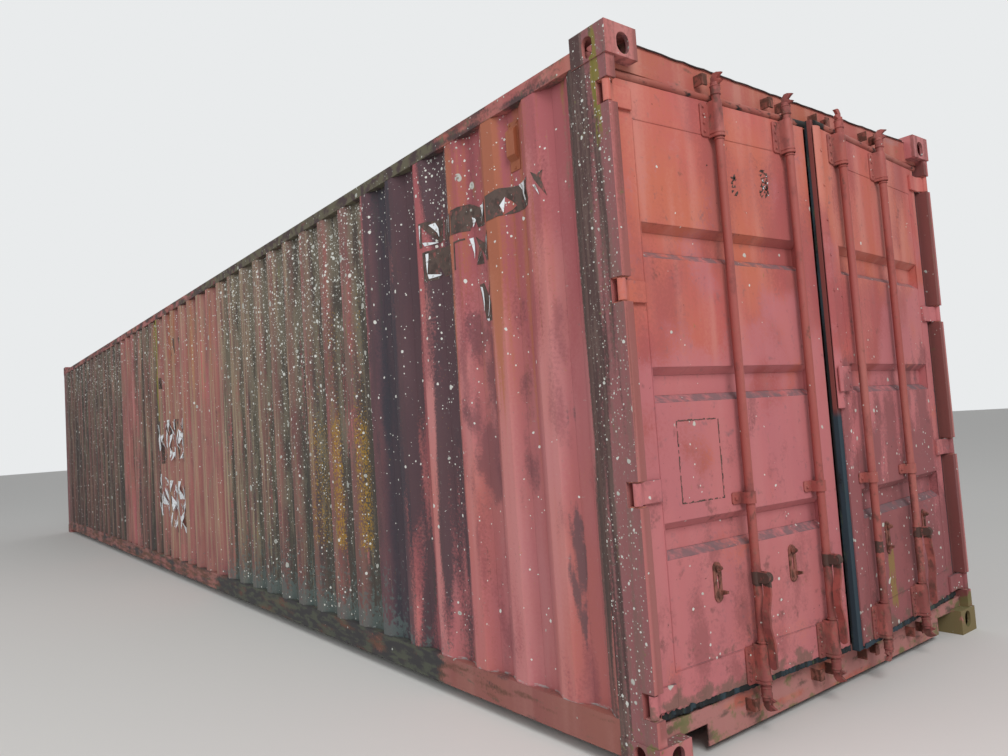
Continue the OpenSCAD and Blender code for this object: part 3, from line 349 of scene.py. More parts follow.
# Bottom side rails and the floor's frame: pressed channels, splashed with mud and never washed.
mud_enamel, tree, at, place = begin("muddy_red_enamel_on_pressed_channel")
surface = chalky_paint(tree, at, "#8C5450", "#905A50", "#A27068")
depth = compute(tree, "SUBTRACT", door_end, place[0])
aged = along(tree, depth, [(0, 0.12), (0.6, 0.2), (1.3, 0.4), (1.42, 1.0), (1.75, 0.95), (1.9, 0.7),
                           (2.4, 0.95), (4.2, 0.9), (4.8, 0.5), (12.2, 0.5)])
surface = coats(tree, surface, at, 0.9, (
    ("#5E4436", 0.0, (0.3, 0.2, 0.05), 0.85, 1.0), ("#363A3D", 0.3, (0.3, 0.2, 0.08), 0.9, 0.8),
    ("#565A4C", 0.4, (0.1, 0.08, 0.03), 0.7, 0.5),
), aged)
surface = spots(tree, surface, at, 0.03, 0.008, 0.06, "#AFB2AA", 0.6)
close(tree, surface, 0.004)
dress(mud_enamel, "bottom_rail_left", "bottom_rail_right", "front_sill", "cross_members")

# Corner posts and corner fittings: thick rolled and cast steel. Their outer faces carry dense lichen and
# moss and are painted a darker brown red as shade, with a painted shadow strip beside the wall, and the
# faces towards the doors are cleaner.
post_enamel, tree, at, place = begin("weathered_red_enamel_on_rolled_steel")
surface = chalky_paint(tree, at, "#B86C6E", "#AC665F", "#C48884")
turned = skin_direction(tree)
outwards = compute(tree, "MAXIMUM", times(tree, turned[1], place[1]), turned[2])
# Painted shade together with the weather: 1 on the outer and upward faces, which are painted darker and
# carry the lichen and moss, and low on the faces towards the doors.
shade_and_weather = add(
    tree, "MapRange", {"Value": outwards, "From Min": 0.3, "From Max": 0.9, "To Min": 0.08}
).outputs[0]
# Moss at the foot, the painted shadow strip beside the wall, painted shade in the groove beside the doors,
# and a rusty run down from the top of the post's edge.
low = times(tree, along(tree, place[2], [(0.0, 1.0), (0.13, 0.9), (0.22, 0.0)]),
            along(tree, place[1], [(-1.2, 0.25), (0.9, 0.3), (1.0, 0.95)]))
# Painted shadow: a near-black strip on the post's side beside the wall, standing for the shade in a groove
# that the flat post lacks.
back = times(
    tree, along(tree, place[2], [(0.3, 0.5), (1.2, 0.8), (1.8, 1.0), (2.6, 1.1)]),
    along(tree, place[0], [(5.8, 0.5), (5.918, 0.95), (5.965, 0.9), (5.985, 0.45), (6.04, 0.4),
                           (6.06, 0.1)]),
)
groove = times(
    tree, along(tree, place[1], [(-1.215, 0.0), (-1.204, 0.1), (-1.196, 0.6), (-1.16, 0.6), (1.16, 1.0),
                                 (1.196, 1.0), (1.205, 0)]),
    along(tree, place[0], [(6.0, 0.0), (6.04, 1.0)]),
    along(tree, place[2], [(0.13, 0.0), (0.15, 1.0), (2.45, 1.0), (2.47, 0.0)]),
)
mask = times(tree, grown(tree, at, 1.05, (0.02, 0.02, 0.5)), groove, 0.8)
surface = lay(tree, surface, mask, "#6A3A36", 0.8)
streak = times(
    tree, along(tree, place[2], [(2.1, 0.0), (2.2, 0.6), (2.4, 1.0), (2.6, 0.3)]),
    along(tree, place[0], [(6.0, 0.0), (6.02, 1.0), (6.045, 1.0), (6.06, 0.0)]),
)
surface = coats(tree, surface, at, 0.9, (
    ("#6E4440", 0.0, (0.03, 0.03, 0.9), 0.6, along(tree, place[2], [(0, 0.1), (1.0, 0.25), (2.5, 0.4)])),
    # The darker brown red on the outer faces is painted shade.
    ("#7E5457", 0.0, (0.05, 0.05, 0.9), 0.8, times(tree, shade_and_weather, 0.9)),
    # The painted shadow strip beside the wall.
    ("#3E3432", 0.0, (0.035, 0.03, 0.8), 0.85, times(tree, shade_and_weather, back)),
    ("#746059", 0.4, (0.02, 0.02, 0.3), 0.5, times(tree, shade_and_weather, 0.4)),
    ("#948E86", 0.4, (0.009, 0.009, 0.014), 0.6, times(tree, shade_and_weather, 0.18)),
    ("#79732F", 0.3, (0.03, 0.03, 0.2), 0.8, times(tree, shade_and_weather, streak)),
    ("#6F6F44", 0.5, (0.05, 0.05, 0.05), 0.85, low),
))
dots = times(tree, shade_and_weather, grown(tree, at, 0.6, (0.08, 0.08, 0.2), 0.2))
surface = spots(tree, surface, at, 0.05, 0.015, times(tree, dots, 0.3), "#B4B6AF", 0.9)
surface = spots(tree, surface, at, 0.022, 0.007, times(tree, dots, 0.45), "#C8CAC4")
surface = spots(tree, surface, at, 0.011, 0.0038, times(tree, dots, 0.6), "#B8B7AE")
close(tree, surface, 0.003)
dress(post_enamel, "rear_post_left", "rear_post_right", "rear_top_fittings", "rear_bottom_fittings",
      "front_posts", "front_top_fittings", "front_bottom_fittings")

# Door header and sill, and the hinge lugs: fabricated steel in the same red as the doors, with
# moss growing in from both ends of the sill.
frame_enamel, tree, at, place = begin("oxide_red_enamel_on_fabricated_steel")
surface = chalky_paint(tree, at, "#AE5E56", "#B0644E", "#C28A7C")
side = compute(tree, "ABSOLUTE", place[1])
damp = times(
    tree, along(tree, side, [(0, 0.6), (0.8, 0.7), (1.05, 0.9), (1.22, 1.0)]),
    along(tree, place[2], [(0, 1.0), (0.17, 0.9), (0.4, 0.15), (2.45, 0.15), (2.6, 0.4)]),
)
surface = coats(tree, surface, at, 0.9, (
    ("#AE7A76", 0.0, (0.3, 0.3, 0.06), 0.85, 1.1), ("#5F4E45", 0.0, (0.14, 0.14, 0.04), 0.85, 0.42),
    ("#6E7048", 0.5, (0.09, 0.09, 0.06), 0.85, 0.45),
), damp)
surface = spots(tree, surface, at, 0.03, 0.008, times(tree, damp, 0.15), "#B9BBB2", 0.6)
close(tree, surface, 0.004)
dress(frame_enamel, "door_header", "door_sill", "hinge_pins")

# Doors: the same paint, less chalked because they are pressed and framed steel under the header's
# shelter. Grime lies on the ledges and low down, with lichen dots over the lower panels.
door_enamel, tree, at, place = begin("oxide_red_enamel_on_pressed_steel")
surface = chalky_paint(tree, at, "#BC625E", "#C06A54", "#CE8C82")
low = along(tree, place[2], [(0.0, 1.0), (0.35, 0.9), (0.9, 0.55), (1.3, 0.25), (2.6, 0.12)])
right = times(tree, along(tree, place[1], [(0.0, 0.0), (0.03, 1.0)]),
              along(tree, place[2], [(0.0, 1.1), (0.6, 0.95), (1.1, 0.7), (1.3, 0.45), (1.7, 0.0)]))
yellow = times(tree, along(tree, place[1], [(0.34, 0.0), (0.36, 0.8), (0.41, 0.8), (0.43, 0.0)]),
               along(tree, place[2], [(0.25, 0.0), (0.3, 0.9), (0.5, 0.9), (0.6, 0.0)]))
foot = along(tree, place[2], [(0.0, 0.6), (0.22, 0.5), (0.28, 0.25), (0.4, 0.1), (0.6, 0.0)])
pinker = along(tree, place[2], [(0.0, 0.9), (1.2, 0.8), (1.6, 0.4), (2.0, 0.2), (2.6, 0.2)])
surface = coats(tree, surface, at, 0.8, (
    ("#984E52", 0.0, (0.3, 0.3, 0.6), 0.6, 0.45), ("#BE7479", 0.0, (0.3, 0.3, 0.3), 0.75, pinker),
    ("#7F4A4A", 0.0, (0.14, 0.14, 0.25), 0.5, times(tree, low, 0.42)),
    ("#5E443F", 0.0, (0.07, 0.07, 0.06), 0.6, times(tree, low, 0.22)),
    ("#7C4A4C", 0.0, (0.12, 0.12, 0.3), 0.7, times(tree, right, 0.85)),
    ("#6A5A4E", 0.0, (0.08, 0.08, 0.06), 0.7, foot),
    ("#8C7A3C", 0.0, (0.014, 0.014, 0.06), 0.7, yellow),
))
upward = skin_direction(tree)[2]
ledge = add(tree, "MapRange", {"Value": upward, "From Min": 0.3, "From Max": 0.6}).outputs[0]
silt = grown(tree, at, times(tree, ledge, 0.65), (0.05, 0.05, 0.05), 0.2)
surface = lay(tree, surface, times(tree, silt, 0.8), "#6E6064", 0.95, 0.8)
spotted = compute(tree, "MULTIPLY_ADD", low, 0.14, times(tree, ledge, 0.3))
spotted = compute(tree, "MULTIPLY_ADD", right, 0.4, spotted)
surface = spots(tree, surface, at, 0.06, 0.014, spotted, "#C4C3BA", 0.8)
surface = spots(tree, surface, at, 0.026, 0.0065, spotted, "#D2D1CA")
chips = grown(tree, at, 0.02, (0.02, 0.02, 0.02), 0.02)
surface = lay(tree, surface, chips, "#5E3A32", 0.9, -0.2)
close(tree, surface, 0.006)
dress(door_enamel, "left_door_frame", "left_door_panel", "right_door_frame", "right_door_panel",
      "right_cover_strip", "tamper_plate", "left_hinge_blades", "right_hinge_blades")

# Ventilators: pressed steel hoods on a flange, painted a duller orange brown than the wall.
vent_enamel, tree, at, place = begin("orange_brown_enamel_on_pressed_steel")
surface = chalky_paint(tree, at, "#96553A", "#8C4E38", "#A87456")
close(tree, surface, 0.003)
dress(vent_enamel, "vents")

# Door seals: extruded rubber, matt and grey blue where it has weathered. The outer lip is bare near the
# ground, and above the foot of the cover strip it has been sprayed with the doors.
seal_rubber, tree, at, place = begin("weathered_epdm_rubber")
chalk = grown(tree, at, 0.4, (0.03, 0.03, 0.3))
surface = blend(tree, chalk, linear("#15181A"), linear("#2C3C44")), 0.75, 0.0
surface = lay(tree, surface, grown(tree, at, 0.2, (0.03, 0.03, 0.1)), "#46523A", 0.9, 0.2)
lip = along(tree, place[0], [(6.112, 0.0), (6.118, 1.0)])
bare = times(tree, lip, along(tree, place[2], [(1.15, 1.0), (1.19, 0.0)]))
mask = times(tree, bare, grown(tree, at, 0.8, (0.05, 0.05, 0.2)))
surface = lay(tree, surface, mask, "#2C3C46", 0.8)
sprayed = times(tree, along(tree, place[0], [(6.117, 0.0), (6.119, 1.0)]),
                along(tree, place[2], [(1.15, 0.0), (1.19, 1.0)]))
mask = times(tree, sprayed, grown(tree, at, 1.1, (0.02, 0.02, 0.1)))
surface = lay(tree, surface, mask, "#7E4440", 0.7, 0.2)
close(tree, surface, 0.003)
dress(seal_rubber, "left_door_seal", "right_door_seal")

# Floor: hardwood plywood boards, worn pale and dusty along the middle.
floor_ply, tree, at, place = begin("worn_hardwood_plywood")
grain = grown(tree, at, 0.5, (0.6, 0.004, 0.02), 0.2)
surface = blend(tree, grain, linear("#6E5A44"), linear("#86705A")), 0.8, 0.0
surface = lay(tree, surface, grown(tree, at, 0.4, (0.3, 0.3, 0.3), 0.15), "#8C8070", 0.9, 0.1)
close(tree, surface, 0.002)
dress(floor_ply, "floor_boards")

# Lock gear paint: the rods, bearings, handles and catches were sprayed with the doors, and the paint
# is thicker and glossier on their round steel. It is darker low down, near the top, and in a band at
# the height of the handle hubs.
gear_enamel, tree, at, place = begin("red_enamel_on_forged_steel")
surface = chalky_paint(tree, at, "#A15450", "#9C5048", "#B4736A")
low = along(tree, place[2], [(0.0, 1.0), (0.35, 0.8), (0.7, 0.6), (1.0, 0.3), (2.2, 0.3), (2.6, 0.8)])
surface = coats(tree, surface, at, 0.8, (
    ("#7C4644", 0.0, (0.05, 0.05, 0.12), 0.7, 0.7), ("#5A4038", 0.2, (0.03, 0.03, 0.06), 0.7, 0.45),
    ("#8A6A5A", 0.2, (0.02, 0.02, 0.03), 0.6, 0.3),
), low)
# A darker band at the height of the handle hubs.
hubs = times(tree, along(tree, place[2], [(0.546, 0.0), (0.556, 1.0), (0.600, 1.0), (0.606, 0.0)]), 0.8)
surface = lay(tree, surface, grown(tree, at, hubs, (0.02, 0.02, 0.03)), "#54403A", 0.85, 0.1)
surface = spots(tree, surface, at, 0.02, 0.005, times(tree, low, 0.12), "#CBCAC1", 0.4)
close(tree, surface, 0.002)
dress(gear_enamel, "lock_rod_left_outer", "lock_rod_left_inner", "lock_rod_right_inner",
      "lock_rod_right_outer", "handle_left_outer", "handle_left_inner", "handle_right_outer")

# Handle catches and keepers: the same steel, half rusted, so that the paint has gone brown.
catch_enamel, tree, at, place = begin("rusted_red_enamel_on_steel_plate")
surface = chalky_paint(tree, at, "#8A4C44", "#7C4A3E", "#A06A5E")
surface = lay(tree, surface, grown(tree, at, 0.5, (0.02, 0.02, 0.03)), "#5C3C32", 0.9, 0.2)
close(tree, surface, 0.0015)
dress(catch_enamel, "left_handle_catches", "right_handle_catches", "keepers")


# Rod bearings: a half-round pressed cover over each end of a rod, with a rolled bead at its lower
# end, a necked-in head and a flange with four bolts, and a plain strap as a guide half-way.
def door_axes(side, ajar):
    """Places what is drawn from a hinge pin: X to the meeting edge, Y out of the door's face."""
    hung = Matrix.Translation((6.068, 1.199, 0.0)) @ Matrix.Rotation(math.radians(ajar - 90), 4, "Z")
    return Matrix.Diagonal((1, side, 1, 1)) @ hung


doors = (("left", -1, 3.4), ("right", 1, 5.0))
rods = (("outer", 0.571), ("inner", 1.015))
rod_front, door_face = 0.002, -0.032


def finish(name, bm, material, body, slot, *stands_for):
    """Makes a piece of a finished bmesh, its faces put right and its soft edges smooth."""
    bmesh.ops.remove_doubles(bm, verts=bm.verts, dist=1e-5)
    bmesh.ops.recalc_face_normals(bm, faces=bm.faces)
    for face in bm.faces:
        face.smooth = True
    for edge in bm.edges:
        edge.smooth = edge.calc_face_angle(0.0) < math.radians(35)
    mesh = bpy.data.meshes.new(name)
    bm.to_mesh(mesh)
    bm.free()
    mesh.materials.append(material)
    piece = bpy.data.objects.new(name, mesh)
    bpy.context.scene.collection.objects.link(piece)
    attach(piece, body)
    if stands_for:
        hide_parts(*stands_for)


def bolt(bm, place, radius, head, sides=12):
    """A bolt head with a narrower top, standing along the Z of its place."""
    bmesh.ops.create_cone(
        bm, cap_ends=True, segments=sides, radius1=radius, radius2=0.8 * radius, depth=head,
        matrix=place @ Matrix.Translation((0, 0, head / 2)),
    )


def facing(place, across, out, up):
    """A place on a door whose Z points out of the door's face."""
    return place @ Matrix.Translation((across, out, up)) @ Matrix.Rotation(math.radians(-90), 4, "X")


def cover(bm, place, levels, thick=0.003):
    """A half-round cover, open at both ends, flat against the door behind."""
    height, width = levels[0]
    made = bmesh.ops.create_circle(bm, segments=32, radius=1.0)["verts"]
    for vert in made:
        vert.co.x *= width
        vert.co.y = vert.co.y * width if vert.co.y > -1e-4 else door_face - rod_front + 0.0005
        vert.co.z = height
    edges = list({edge for vert in made for edge in vert.link_edges})
    for height, radius in levels[1:]:
        geom = bmesh.ops.extrude_edge_only(bm, edges=edges)["geom"]
        verts = [part for part in geom if isinstance(part, bmesh.types.BMVert)]
        edges = [part for part in geom if isinstance(part, bmesh.types.BMEdge)]
        for vert in verts:
            vert.co.x *= radius / width
            if vert.co.y > 0:
                vert.co.y *= radius / width
            vert.co.z = height
        width = radius
        made += verts
    faces = list({face for vert in made for face in vert.link_faces})
    bmesh.ops.recalc_face_normals(bm, faces=faces)
    skin = bmesh.ops.solidify(bm, geom=faces, thickness=thick)["geom"]
    made += [part for part in skin if isinstance(part, bmesh.types.BMVert)]
    bmesh.ops.transform(bm, matrix=place, verts=list(set(made)))


def plate(bm, place, size, at, corner, bend=0.002):
    """A flat plate with rounded corners and edges: its size and middle in the axes of its place."""
    made = bmesh.ops.create_cube(bm, size=1.0)["verts"]
    bmesh.ops.scale(bm, vec=size, verts=made)
    bmesh.ops.translate(bm, vec=at, verts=made)
    edges = [e for e in {e for v in made for e in v.link_edges}
             if abs(e.verts[0].co.y - e.verts[1].co.y) > 0.9 * size[1]]
    for offset, segments in ((corner, 4), (bend, 2)):
        made = bmesh.ops.bevel(bm, geom=edges, offset=offset, segments=segments, affect="EDGES",
                               profile=0.5, material=-1)["verts"]
        made = list({v for f in {f for v in made for f in v.link_faces} for v in f.verts})
        edges = list({e for v in made for e in v.link_edges})
    bmesh.ops.transform(bm, matrix=place, verts=made)


for side_name, side, ajar in doors:
    bm = bmesh.new()
    hung = door_axes(side, ajar)
    for _, reach in rods:
        rod = hung @ Matrix.Translation((reach, rod_front, 0))
        cover(bm, rod, [(0.188, 0.0222), (0.190, 0.0246), (0.196, 0.0246), (0.198, 0.0222), (0.201, 0.0222),
                        (0.203, 0.0240), (0.208, 0.0240), (0.211, 0.0222), (0.300, 0.0222), (0.318, 0.0214),
                        (0.334, 0.0196)])
        cover(bm, rod, [(2.270, 0.0222), (2.272, 0.0248), (2.279, 0.0248), (2.281, 0.0222), (2.284, 0.0222),
                        (2.286, 0.0242), (2.291, 0.0242), (2.294, 0.0222), (2.380, 0.0222), (2.400, 0.0212),
                        (2.416, 0.0190)])
        cover(bm, rod, [(0.856, 0.0226), (0.900, 0.0226)], 0.005)
        for low, high in ((0.188, 0.328), (2.276, 2.410)):
            middle = (side * 0.042, -0.0305, (low + high) / 2)
            plate(bm, rod, (0.046, 0.007, high - low), middle, 0.01)
            for k in range(4):
                bolt(bm, facing(hung, reach + side * 0.050, -0.0255, low + 0.02 + 0.033 * k), 0.0065, 0.006)
        plate(bm, rod, (0.046, 0.007, 0.044), (side * 0.042, -0.0305, 0.878), 0.008)
        bolt(bm, facing(hung, reach + side * 0.048, -0.0255, 0.878), 0.009, 0.007, 6)
    finish(side_name + "_rod_bearing_covers", bm, gear_enamel, side_name + "_door", "hardware_paint",
           side_name + "_rod_bearings")


# Rings on the lock rods: welded collars that keep each rod from sliding in its bearings.
def ring(bm, place, reach, radius):
    """A round ring about the Z of its place."""
    start = bmesh.ops.create_circle(
        bm, segments=10, radius=radius,
        matrix=place @ Matrix.Translation((reach, 0, 0)) @ Matrix.Rotation(math.radians(90), 4, "X"),
    )["verts"]
    edges = list({edge for vert in start for edge in vert.link_edges})
    bmesh.ops.spin(bm, geom=start + edges, cent=place.translation, axis=(0, 0, 1), angle=2 * math.pi,
                   steps=28, use_merge=True)


for side_name, side, ajar in doors:
    for rod_name, reach in rods:
        bm = bmesh.new()
        rod = door_axes(side, ajar) @ Matrix.Translation((reach, rod_front, 0))
        for height in (0.144, 0.176, 0.342, 2.262, 2.440, 2.472):
            ring(bm, rod @ Matrix.Translation((0, 0, height)), 0.0182, 0.0030)
        finish(f"{side_name}_{rod_name}_rod_rings", bm, gear_enamel, f"{side_name}_{rod_name}_rod",
               "hardware_paint")

# Catch bolts: a hex pivot bolt on a washer at the top of each catch, and a rivet at its foot.
pivot_height, rivet_height = 0.640, 0.537
for side_name, side, ajar in doors:
    bm = bmesh.new()
    hung = door_axes(side, ajar)
    for across in (0.391, 0.835):
        for out, radius, head, sides in (
            (-0.019, 0.0145, 0.003, 20), (-0.017, 0.0110, 0.009, 6), (-0.009, 0.0060, 0.006, 10),
        ):
            bolt(bm, facing(hung, across, out, pivot_height), radius, head, sides)
        bolt(bm, facing(hung, across, -0.028, rivet_height), 0.0080, 0.005)
    finish(side_name + "_catch_bolts", bm, catch_enamel, side_name + "_door", "rusty_steel")


# Top seals: a rubber tube clamped along the top of each door and sprayed over with it, which shows
# as a rounded bar under the header.
def bead(bm, points, radius, sides):
    """A rounded bead along a line of points, closed at its ends."""
    place = None
    for k, point in enumerate(points):
        ahead = points[min(k + 1, len(points) - 1)] - points[max(k - 1, 0)]
        here = Matrix.Translation(point) @ ahead.to_track_quat("Z", "Y").to_matrix().to_4x4()
        if place is None:
            rim = bmesh.ops.create_circle(bm, cap_ends=True, segments=sides, radius=radius, matrix=here)
            edges = list({edge for vert in rim["verts"] for edge in vert.link_edges})
        else:
            geom = bmesh.ops.extrude_edge_only(bm, edges=edges)["geom"]
            verts = [part for part in geom if isinstance(part, bmesh.types.BMVert)]
            edges = [part for part in geom if isinstance(part, bmesh.types.BMEdge)]
            bmesh.ops.transform(bm, matrix=here @ place.inverted(), verts=verts)
        place = here
    bmesh.ops.edgeloop_fill(bm, edges=edges)


painted_rubber, tree, at, place = begin("oxide_red_enamel_on_rubber_tube")
surface = chalky_paint(tree, at, "#98504A", "#9C5646", "#B07468")
middle = compute(tree, "ABSOLUTE", place[1])
bare = along(tree, middle, [(0, 1.0), (0.06, 0.9), (0.12, 0.3), (1.2, 0.2)])
surface = lay(tree, surface, grown(tree, at, bare, (0.05, 0.05, 0.02)), "#2A2928", 0.8, -0.3)
close(tree, surface, 0.002)
for side_name, side, ajar in doors:
    bm = bmesh.new()
    hung = door_axes(side, ajar)
    chance = random.Random(11 + side)
    points = [hung @ Vector((0.040 + 0.05 * k, -0.0378, 2.4368 + chance.uniform(-0.001, 0.0006)))
              for k in range(24)]
    bead(bm, points, 0.0148, 16)
    finish(side_name + "_top_seal_bar", bm, painted_rubber, side_name + "_door", "door_rubber")

# Bottom seals: the lip of the rubber has gone hard and torn along the foot of each door, and shows
# as a ragged dark strip.
for side_name, side, ajar in doors:
    bm = bmesh.new()
    hung = door_axes(side, ajar)
    chance = random.Random(5 + side)
    bmesh.ops.create_grid(
        bm, x_segments=110, y_segments=2, size=0.5,
        matrix=Matrix.Translation((0.617, 0, 0.184)) @ Matrix.Diagonal((1.110, 1, 0.020, 1))
        @ Matrix.Rotation(math.radians(90), 4, "X"),
    )
    ragged = {}
    for vert in bm.verts:
        drift = ragged.setdefault((round(vert.co.x, 3), vert.co.z > 0.184), chance.uniform(-0.0025, 0.0025))
        if vert.co.x < 0.25:
            drift = 2.5 * drift + 0.003
        if abs(vert.co.z - 0.184) > 0.005:
            vert.co.z += drift
        vert.co.y = -0.0305 + 0.0015 * math.sin(40 * vert.co.x)
    bmesh.ops.transform(bm, matrix=hung, verts=bm.verts)
    bmesh.ops.solidify(bm, geom=bm.faces, thickness=0.003)
    finish(side_name + "_torn_bottom_lip", bm, seal_rubber, side_name + "_door", "door_rubber")

# Door welds and fixings: the fillet welds round each panel, the rivets of the cover strip and the
# bolts of the tamper plate, all painted over.
for side_name, side, ajar in doors:
    bm = bmesh.new()
    hung = door_axes(side, ajar)
    for height in (0.322, 2.283):
        bead(bm, [hung @ Vector((x, door_face, height)) for x in (0.144, 1.066)], 0.0022, 8)
    for across in (0.144, 1.066):
        bead(bm, [hung @ Vector((across, door_face, z)) for z in (0.322, 2.283)], 0.0022, 8)
    if side_name == "right":
        for k in range(8):
            bolt(bm, facing(hung, 1.176, -0.0185, 1.264 + 0.154 * k - 0.03), 0.0065, 0.004)
        for height in (1.280, 1.344):
            bolt(bm, facing(hung, 1.116, -0.0125, height), 0.0085, 0.005)
    finish(side_name + "_door_welds", bm, door_enamel, side_name + "_door", "door_paint")

# Ventilator screws: two round heads above the hood and one below it, on each vent.
bm = bmesh.new()
for side in (-1, 1):
    for along_x, height in ((5.499, 2.427), (5.543, 2.427), (5.521, 2.245)):
        spot = Matrix.Translation((along_x, side * 1.1805, height))
        bolt(bm, spot @ Matrix.Rotation(math.radians(-90 * side), 4, "X"), 0.0065, 0.004)
finish("vent_screws", bm, vent_enamel, "box", "vent_paint")

# Roof edge: a thin black bead along the end of the roof sheet, a little wavy over the header, painted black
# as the shadow line under the sheet's edge.
roof_shadow_black, tree, at, place = begin("painted_shadow_line_at_roof_edge")
surface = chalky_paint(tree, at, "#3A2C2A", "#2C2524", "#5A4540")
close(tree, surface, 0.001)
bm = bmesh.new()
chance = random.Random(3)
points = [Vector((6.0500, -1.03 + 0.0412 * k, 2.5640 + chance.uniform(-0.0022, 0.0022))) for k in range(51)]
bead(bm, points, 0.0035, 8)
finish("roof_edge_shadow_line", bm, roof_shadow_black, "box", "wall_paint")


# Peeled film: scraps of torn adhesive film on the left wall and door. Most of it has come off, what
# is left has gone grey brown, and its torn corners have curled up and show their white back.
# The bays of the wall that the film follows: where the first one starts, their pitch, where each one
# bends inwards, is at its depth and bends back, and how far in and how long its slopes are.
first_bay, bay_pitch = 0.400, 0.278
bend_in, trough_start, bend_out = 0.072, 0.140, 0.210
crest_skin, trough_skin, trough_depth, slope = 1.214, 1.178, 0.036, 0.068
film_thickness = 0.0005


def skin_of_wall(depth):
    """How far the outer skin of a side wall stands from the middle of the box."""
    into_bay = (depth - first_bay) % bay_pitch
    if into_bay < bend_in:
        return crest_skin
    if into_bay < trough_start:
        return crest_skin - trough_depth * (into_bay - bend_in) / slope
    if into_bay < bend_out:
        return trough_skin
    return trough_skin + trough_depth * (into_bay - bend_out) / slope


def torn(flat, curled, box, pitch, chance, left, lifted, tall=1.0):
    """Fills a box (start, end, low, high) with torn triangles: the shares left flat and curled up."""
    start, end, low, high = box
    columns, rows = max(2, round((end - start) / pitch)), max(1, round((high - low) / pitch / tall))
    grid = {}
    for i in range(columns + 1):
        for j in range(rows + 1):
            shift = chance.uniform(-0.38, 0.38), chance.uniform(-0.38, 0.38)
            grid[i, j] = Vector((
                start + (end - start) * (i + shift[0] * (0 < i < columns)) / columns, 0.0008,
                low + (high - low) * (j + shift[1] * (0 < j < rows)) / rows,
            ))
    for i in range(columns):
        for j in range(rows):
            corners = grid[i, j], grid[i + 1, j], grid[i + 1, j + 1], grid[i, j + 1]
            for k in (0, 2):
                first, second, tip = corners[k], corners[k + 1], corners[(k + 2) % 4]
                fate = chance.random()
                if fate < left:
                    flat.faces.new([flat.verts.new(corner) for corner in (first, second, tip)])
                elif fate < left + lifted:
                    rise = chance.uniform(0.25, 0.5) * (tip - first).length
                    rows_of = []
                    for share in (0.0, 0.35, 0.65, 0.9):
                        pair = [first.lerp(tip, 0.8 * share), second.lerp(tip, 0.8 * share)]
                        for corner in pair:
                            corner.y += rise * share * share
                        rows_of.append([curled.verts.new(corner) for corner in pair])
                    for below, above in zip(rows_of, rows_of[1:]):
                        curled.faces.new((below[0], below[1], above[1], above[0]))


def onto_wall(bm):
    """Bends flat scraps to the corrugations of the left wall and gives them their thickness."""
    depths = [vert.co.x for vert in bm.verts]
    first, last = [int((depth - first_bay) / bay_pitch) for depth in (min(depths), max(depths))]
    for bay in range(first - 1, last + 2):
        for bend in (0.0, bend_in, trough_start, bend_out):
            bmesh.ops.bisect_plane(
                bm, geom=list(bm.verts) + list(bm.edges) + list(bm.faces), dist=1e-6,
                plane_co=(first_bay + bay_pitch * bay + bend, 0, 0), plane_no=(1, 0, 0),
            )
    for vert in bm.verts:
        depth, lift, height = vert.co
        vert.co = (door_end - depth, -min(skin_of_wall(depth) + lift, 1.2184), height)
    bmesh.ops.solidify(bm, geom=list(bm.faces), thickness=film_thickness)


old_film, tree, at, place = begin("weathered_adhesive_film")
surface = linear("#574842"), 0.8, 0.0
surface = lay(tree, surface, grown(tree, at, 0.4, (0.04, 0.04, 0.04)), "#453935", 0.85, 0.1)
surface = lay(tree, surface, grown(tree, at, 0.22, (0.02, 0.02, 0.03)), "#8A4F4C", 0.85, -0.1)
surface = spots(tree, surface, at, 0.02, 0.006, 0.3, "#9C9E96", 0.4)
close(tree, surface, 0.0005)
film_back, tree, at, place = begin("white_back_of_vinyl_film")
surface = linear("#DDE2E6"), 0.55, 0.0
surface = lay(tree, surface, grown(tree, at, 0.3, (0.02, 0.02, 0.02)), "#9C9690", 0.8, 0.0)
close(tree, surface, 0.0005)
flat, curled, chance = bmesh.new(), bmesh.new(), random.Random(28)
# The large scraps near the doors, each as an outline of (depth, height) in millimetres.
for outline in (
    ((1287, 2188), (1287, 2070), (1262, 2068), (1262, 2168), (1205, 2120), (1160, 2072), (1136, 2078),
     (1128, 2176)),
    ((1113, 2176), (1116, 2072), (1082, 2070), (1066, 2120), (1052, 2074), (1023, 2068), (1020, 2172),
     (1060, 2150), (1080, 2178)),
    ((1014, 2180), (1016, 2070), (905, 2066), (880, 2120), (858, 2070), (790, 2068), (786, 2176),
     (830, 2150), (900, 2184)),
    ((753, 2172), (757, 2064), (650, 2068), (664, 2110), (640, 2142), (584, 2094), (650, 2068), (566, 2064),
     (560, 2170), (660, 2182)),
    ((560, 2168), (566, 2066), (482, 2064), (470, 2090), (494, 2140), (474, 2176)),
    ((447, 2184), (430, 2150), (398, 2110), (374, 2072), (392, 2140), (384, 2176), (410, 2162)),
    ((1266, 2044), (1262, 1906), (1180, 1904), (1172, 1960), (1134, 1908), (1034, 1904), (1030, 1970),
     (1062, 1990), (1032, 2040), (1160, 2048)),
    ((1002, 2036), (1006, 1910), (996, 1910), (994, 2028), (930, 2030), (930, 2038)),
    ((880, 2034), (858, 1984), (884, 1912), (830, 1906), (842, 1970), (800, 1912), (764, 1908), (774, 1960),
     (762, 2032), (822, 1996)),
    ((874, 1822), (856, 1740), (838, 1660), (764, 1650), (762, 1722), (788, 1760), (766, 1820), (812, 1764),
     (842, 1824)),
):
    flat.faces.new([flat.verts.new((depth / 1000, 0.0008, height / 1000)) for depth, height in outline])
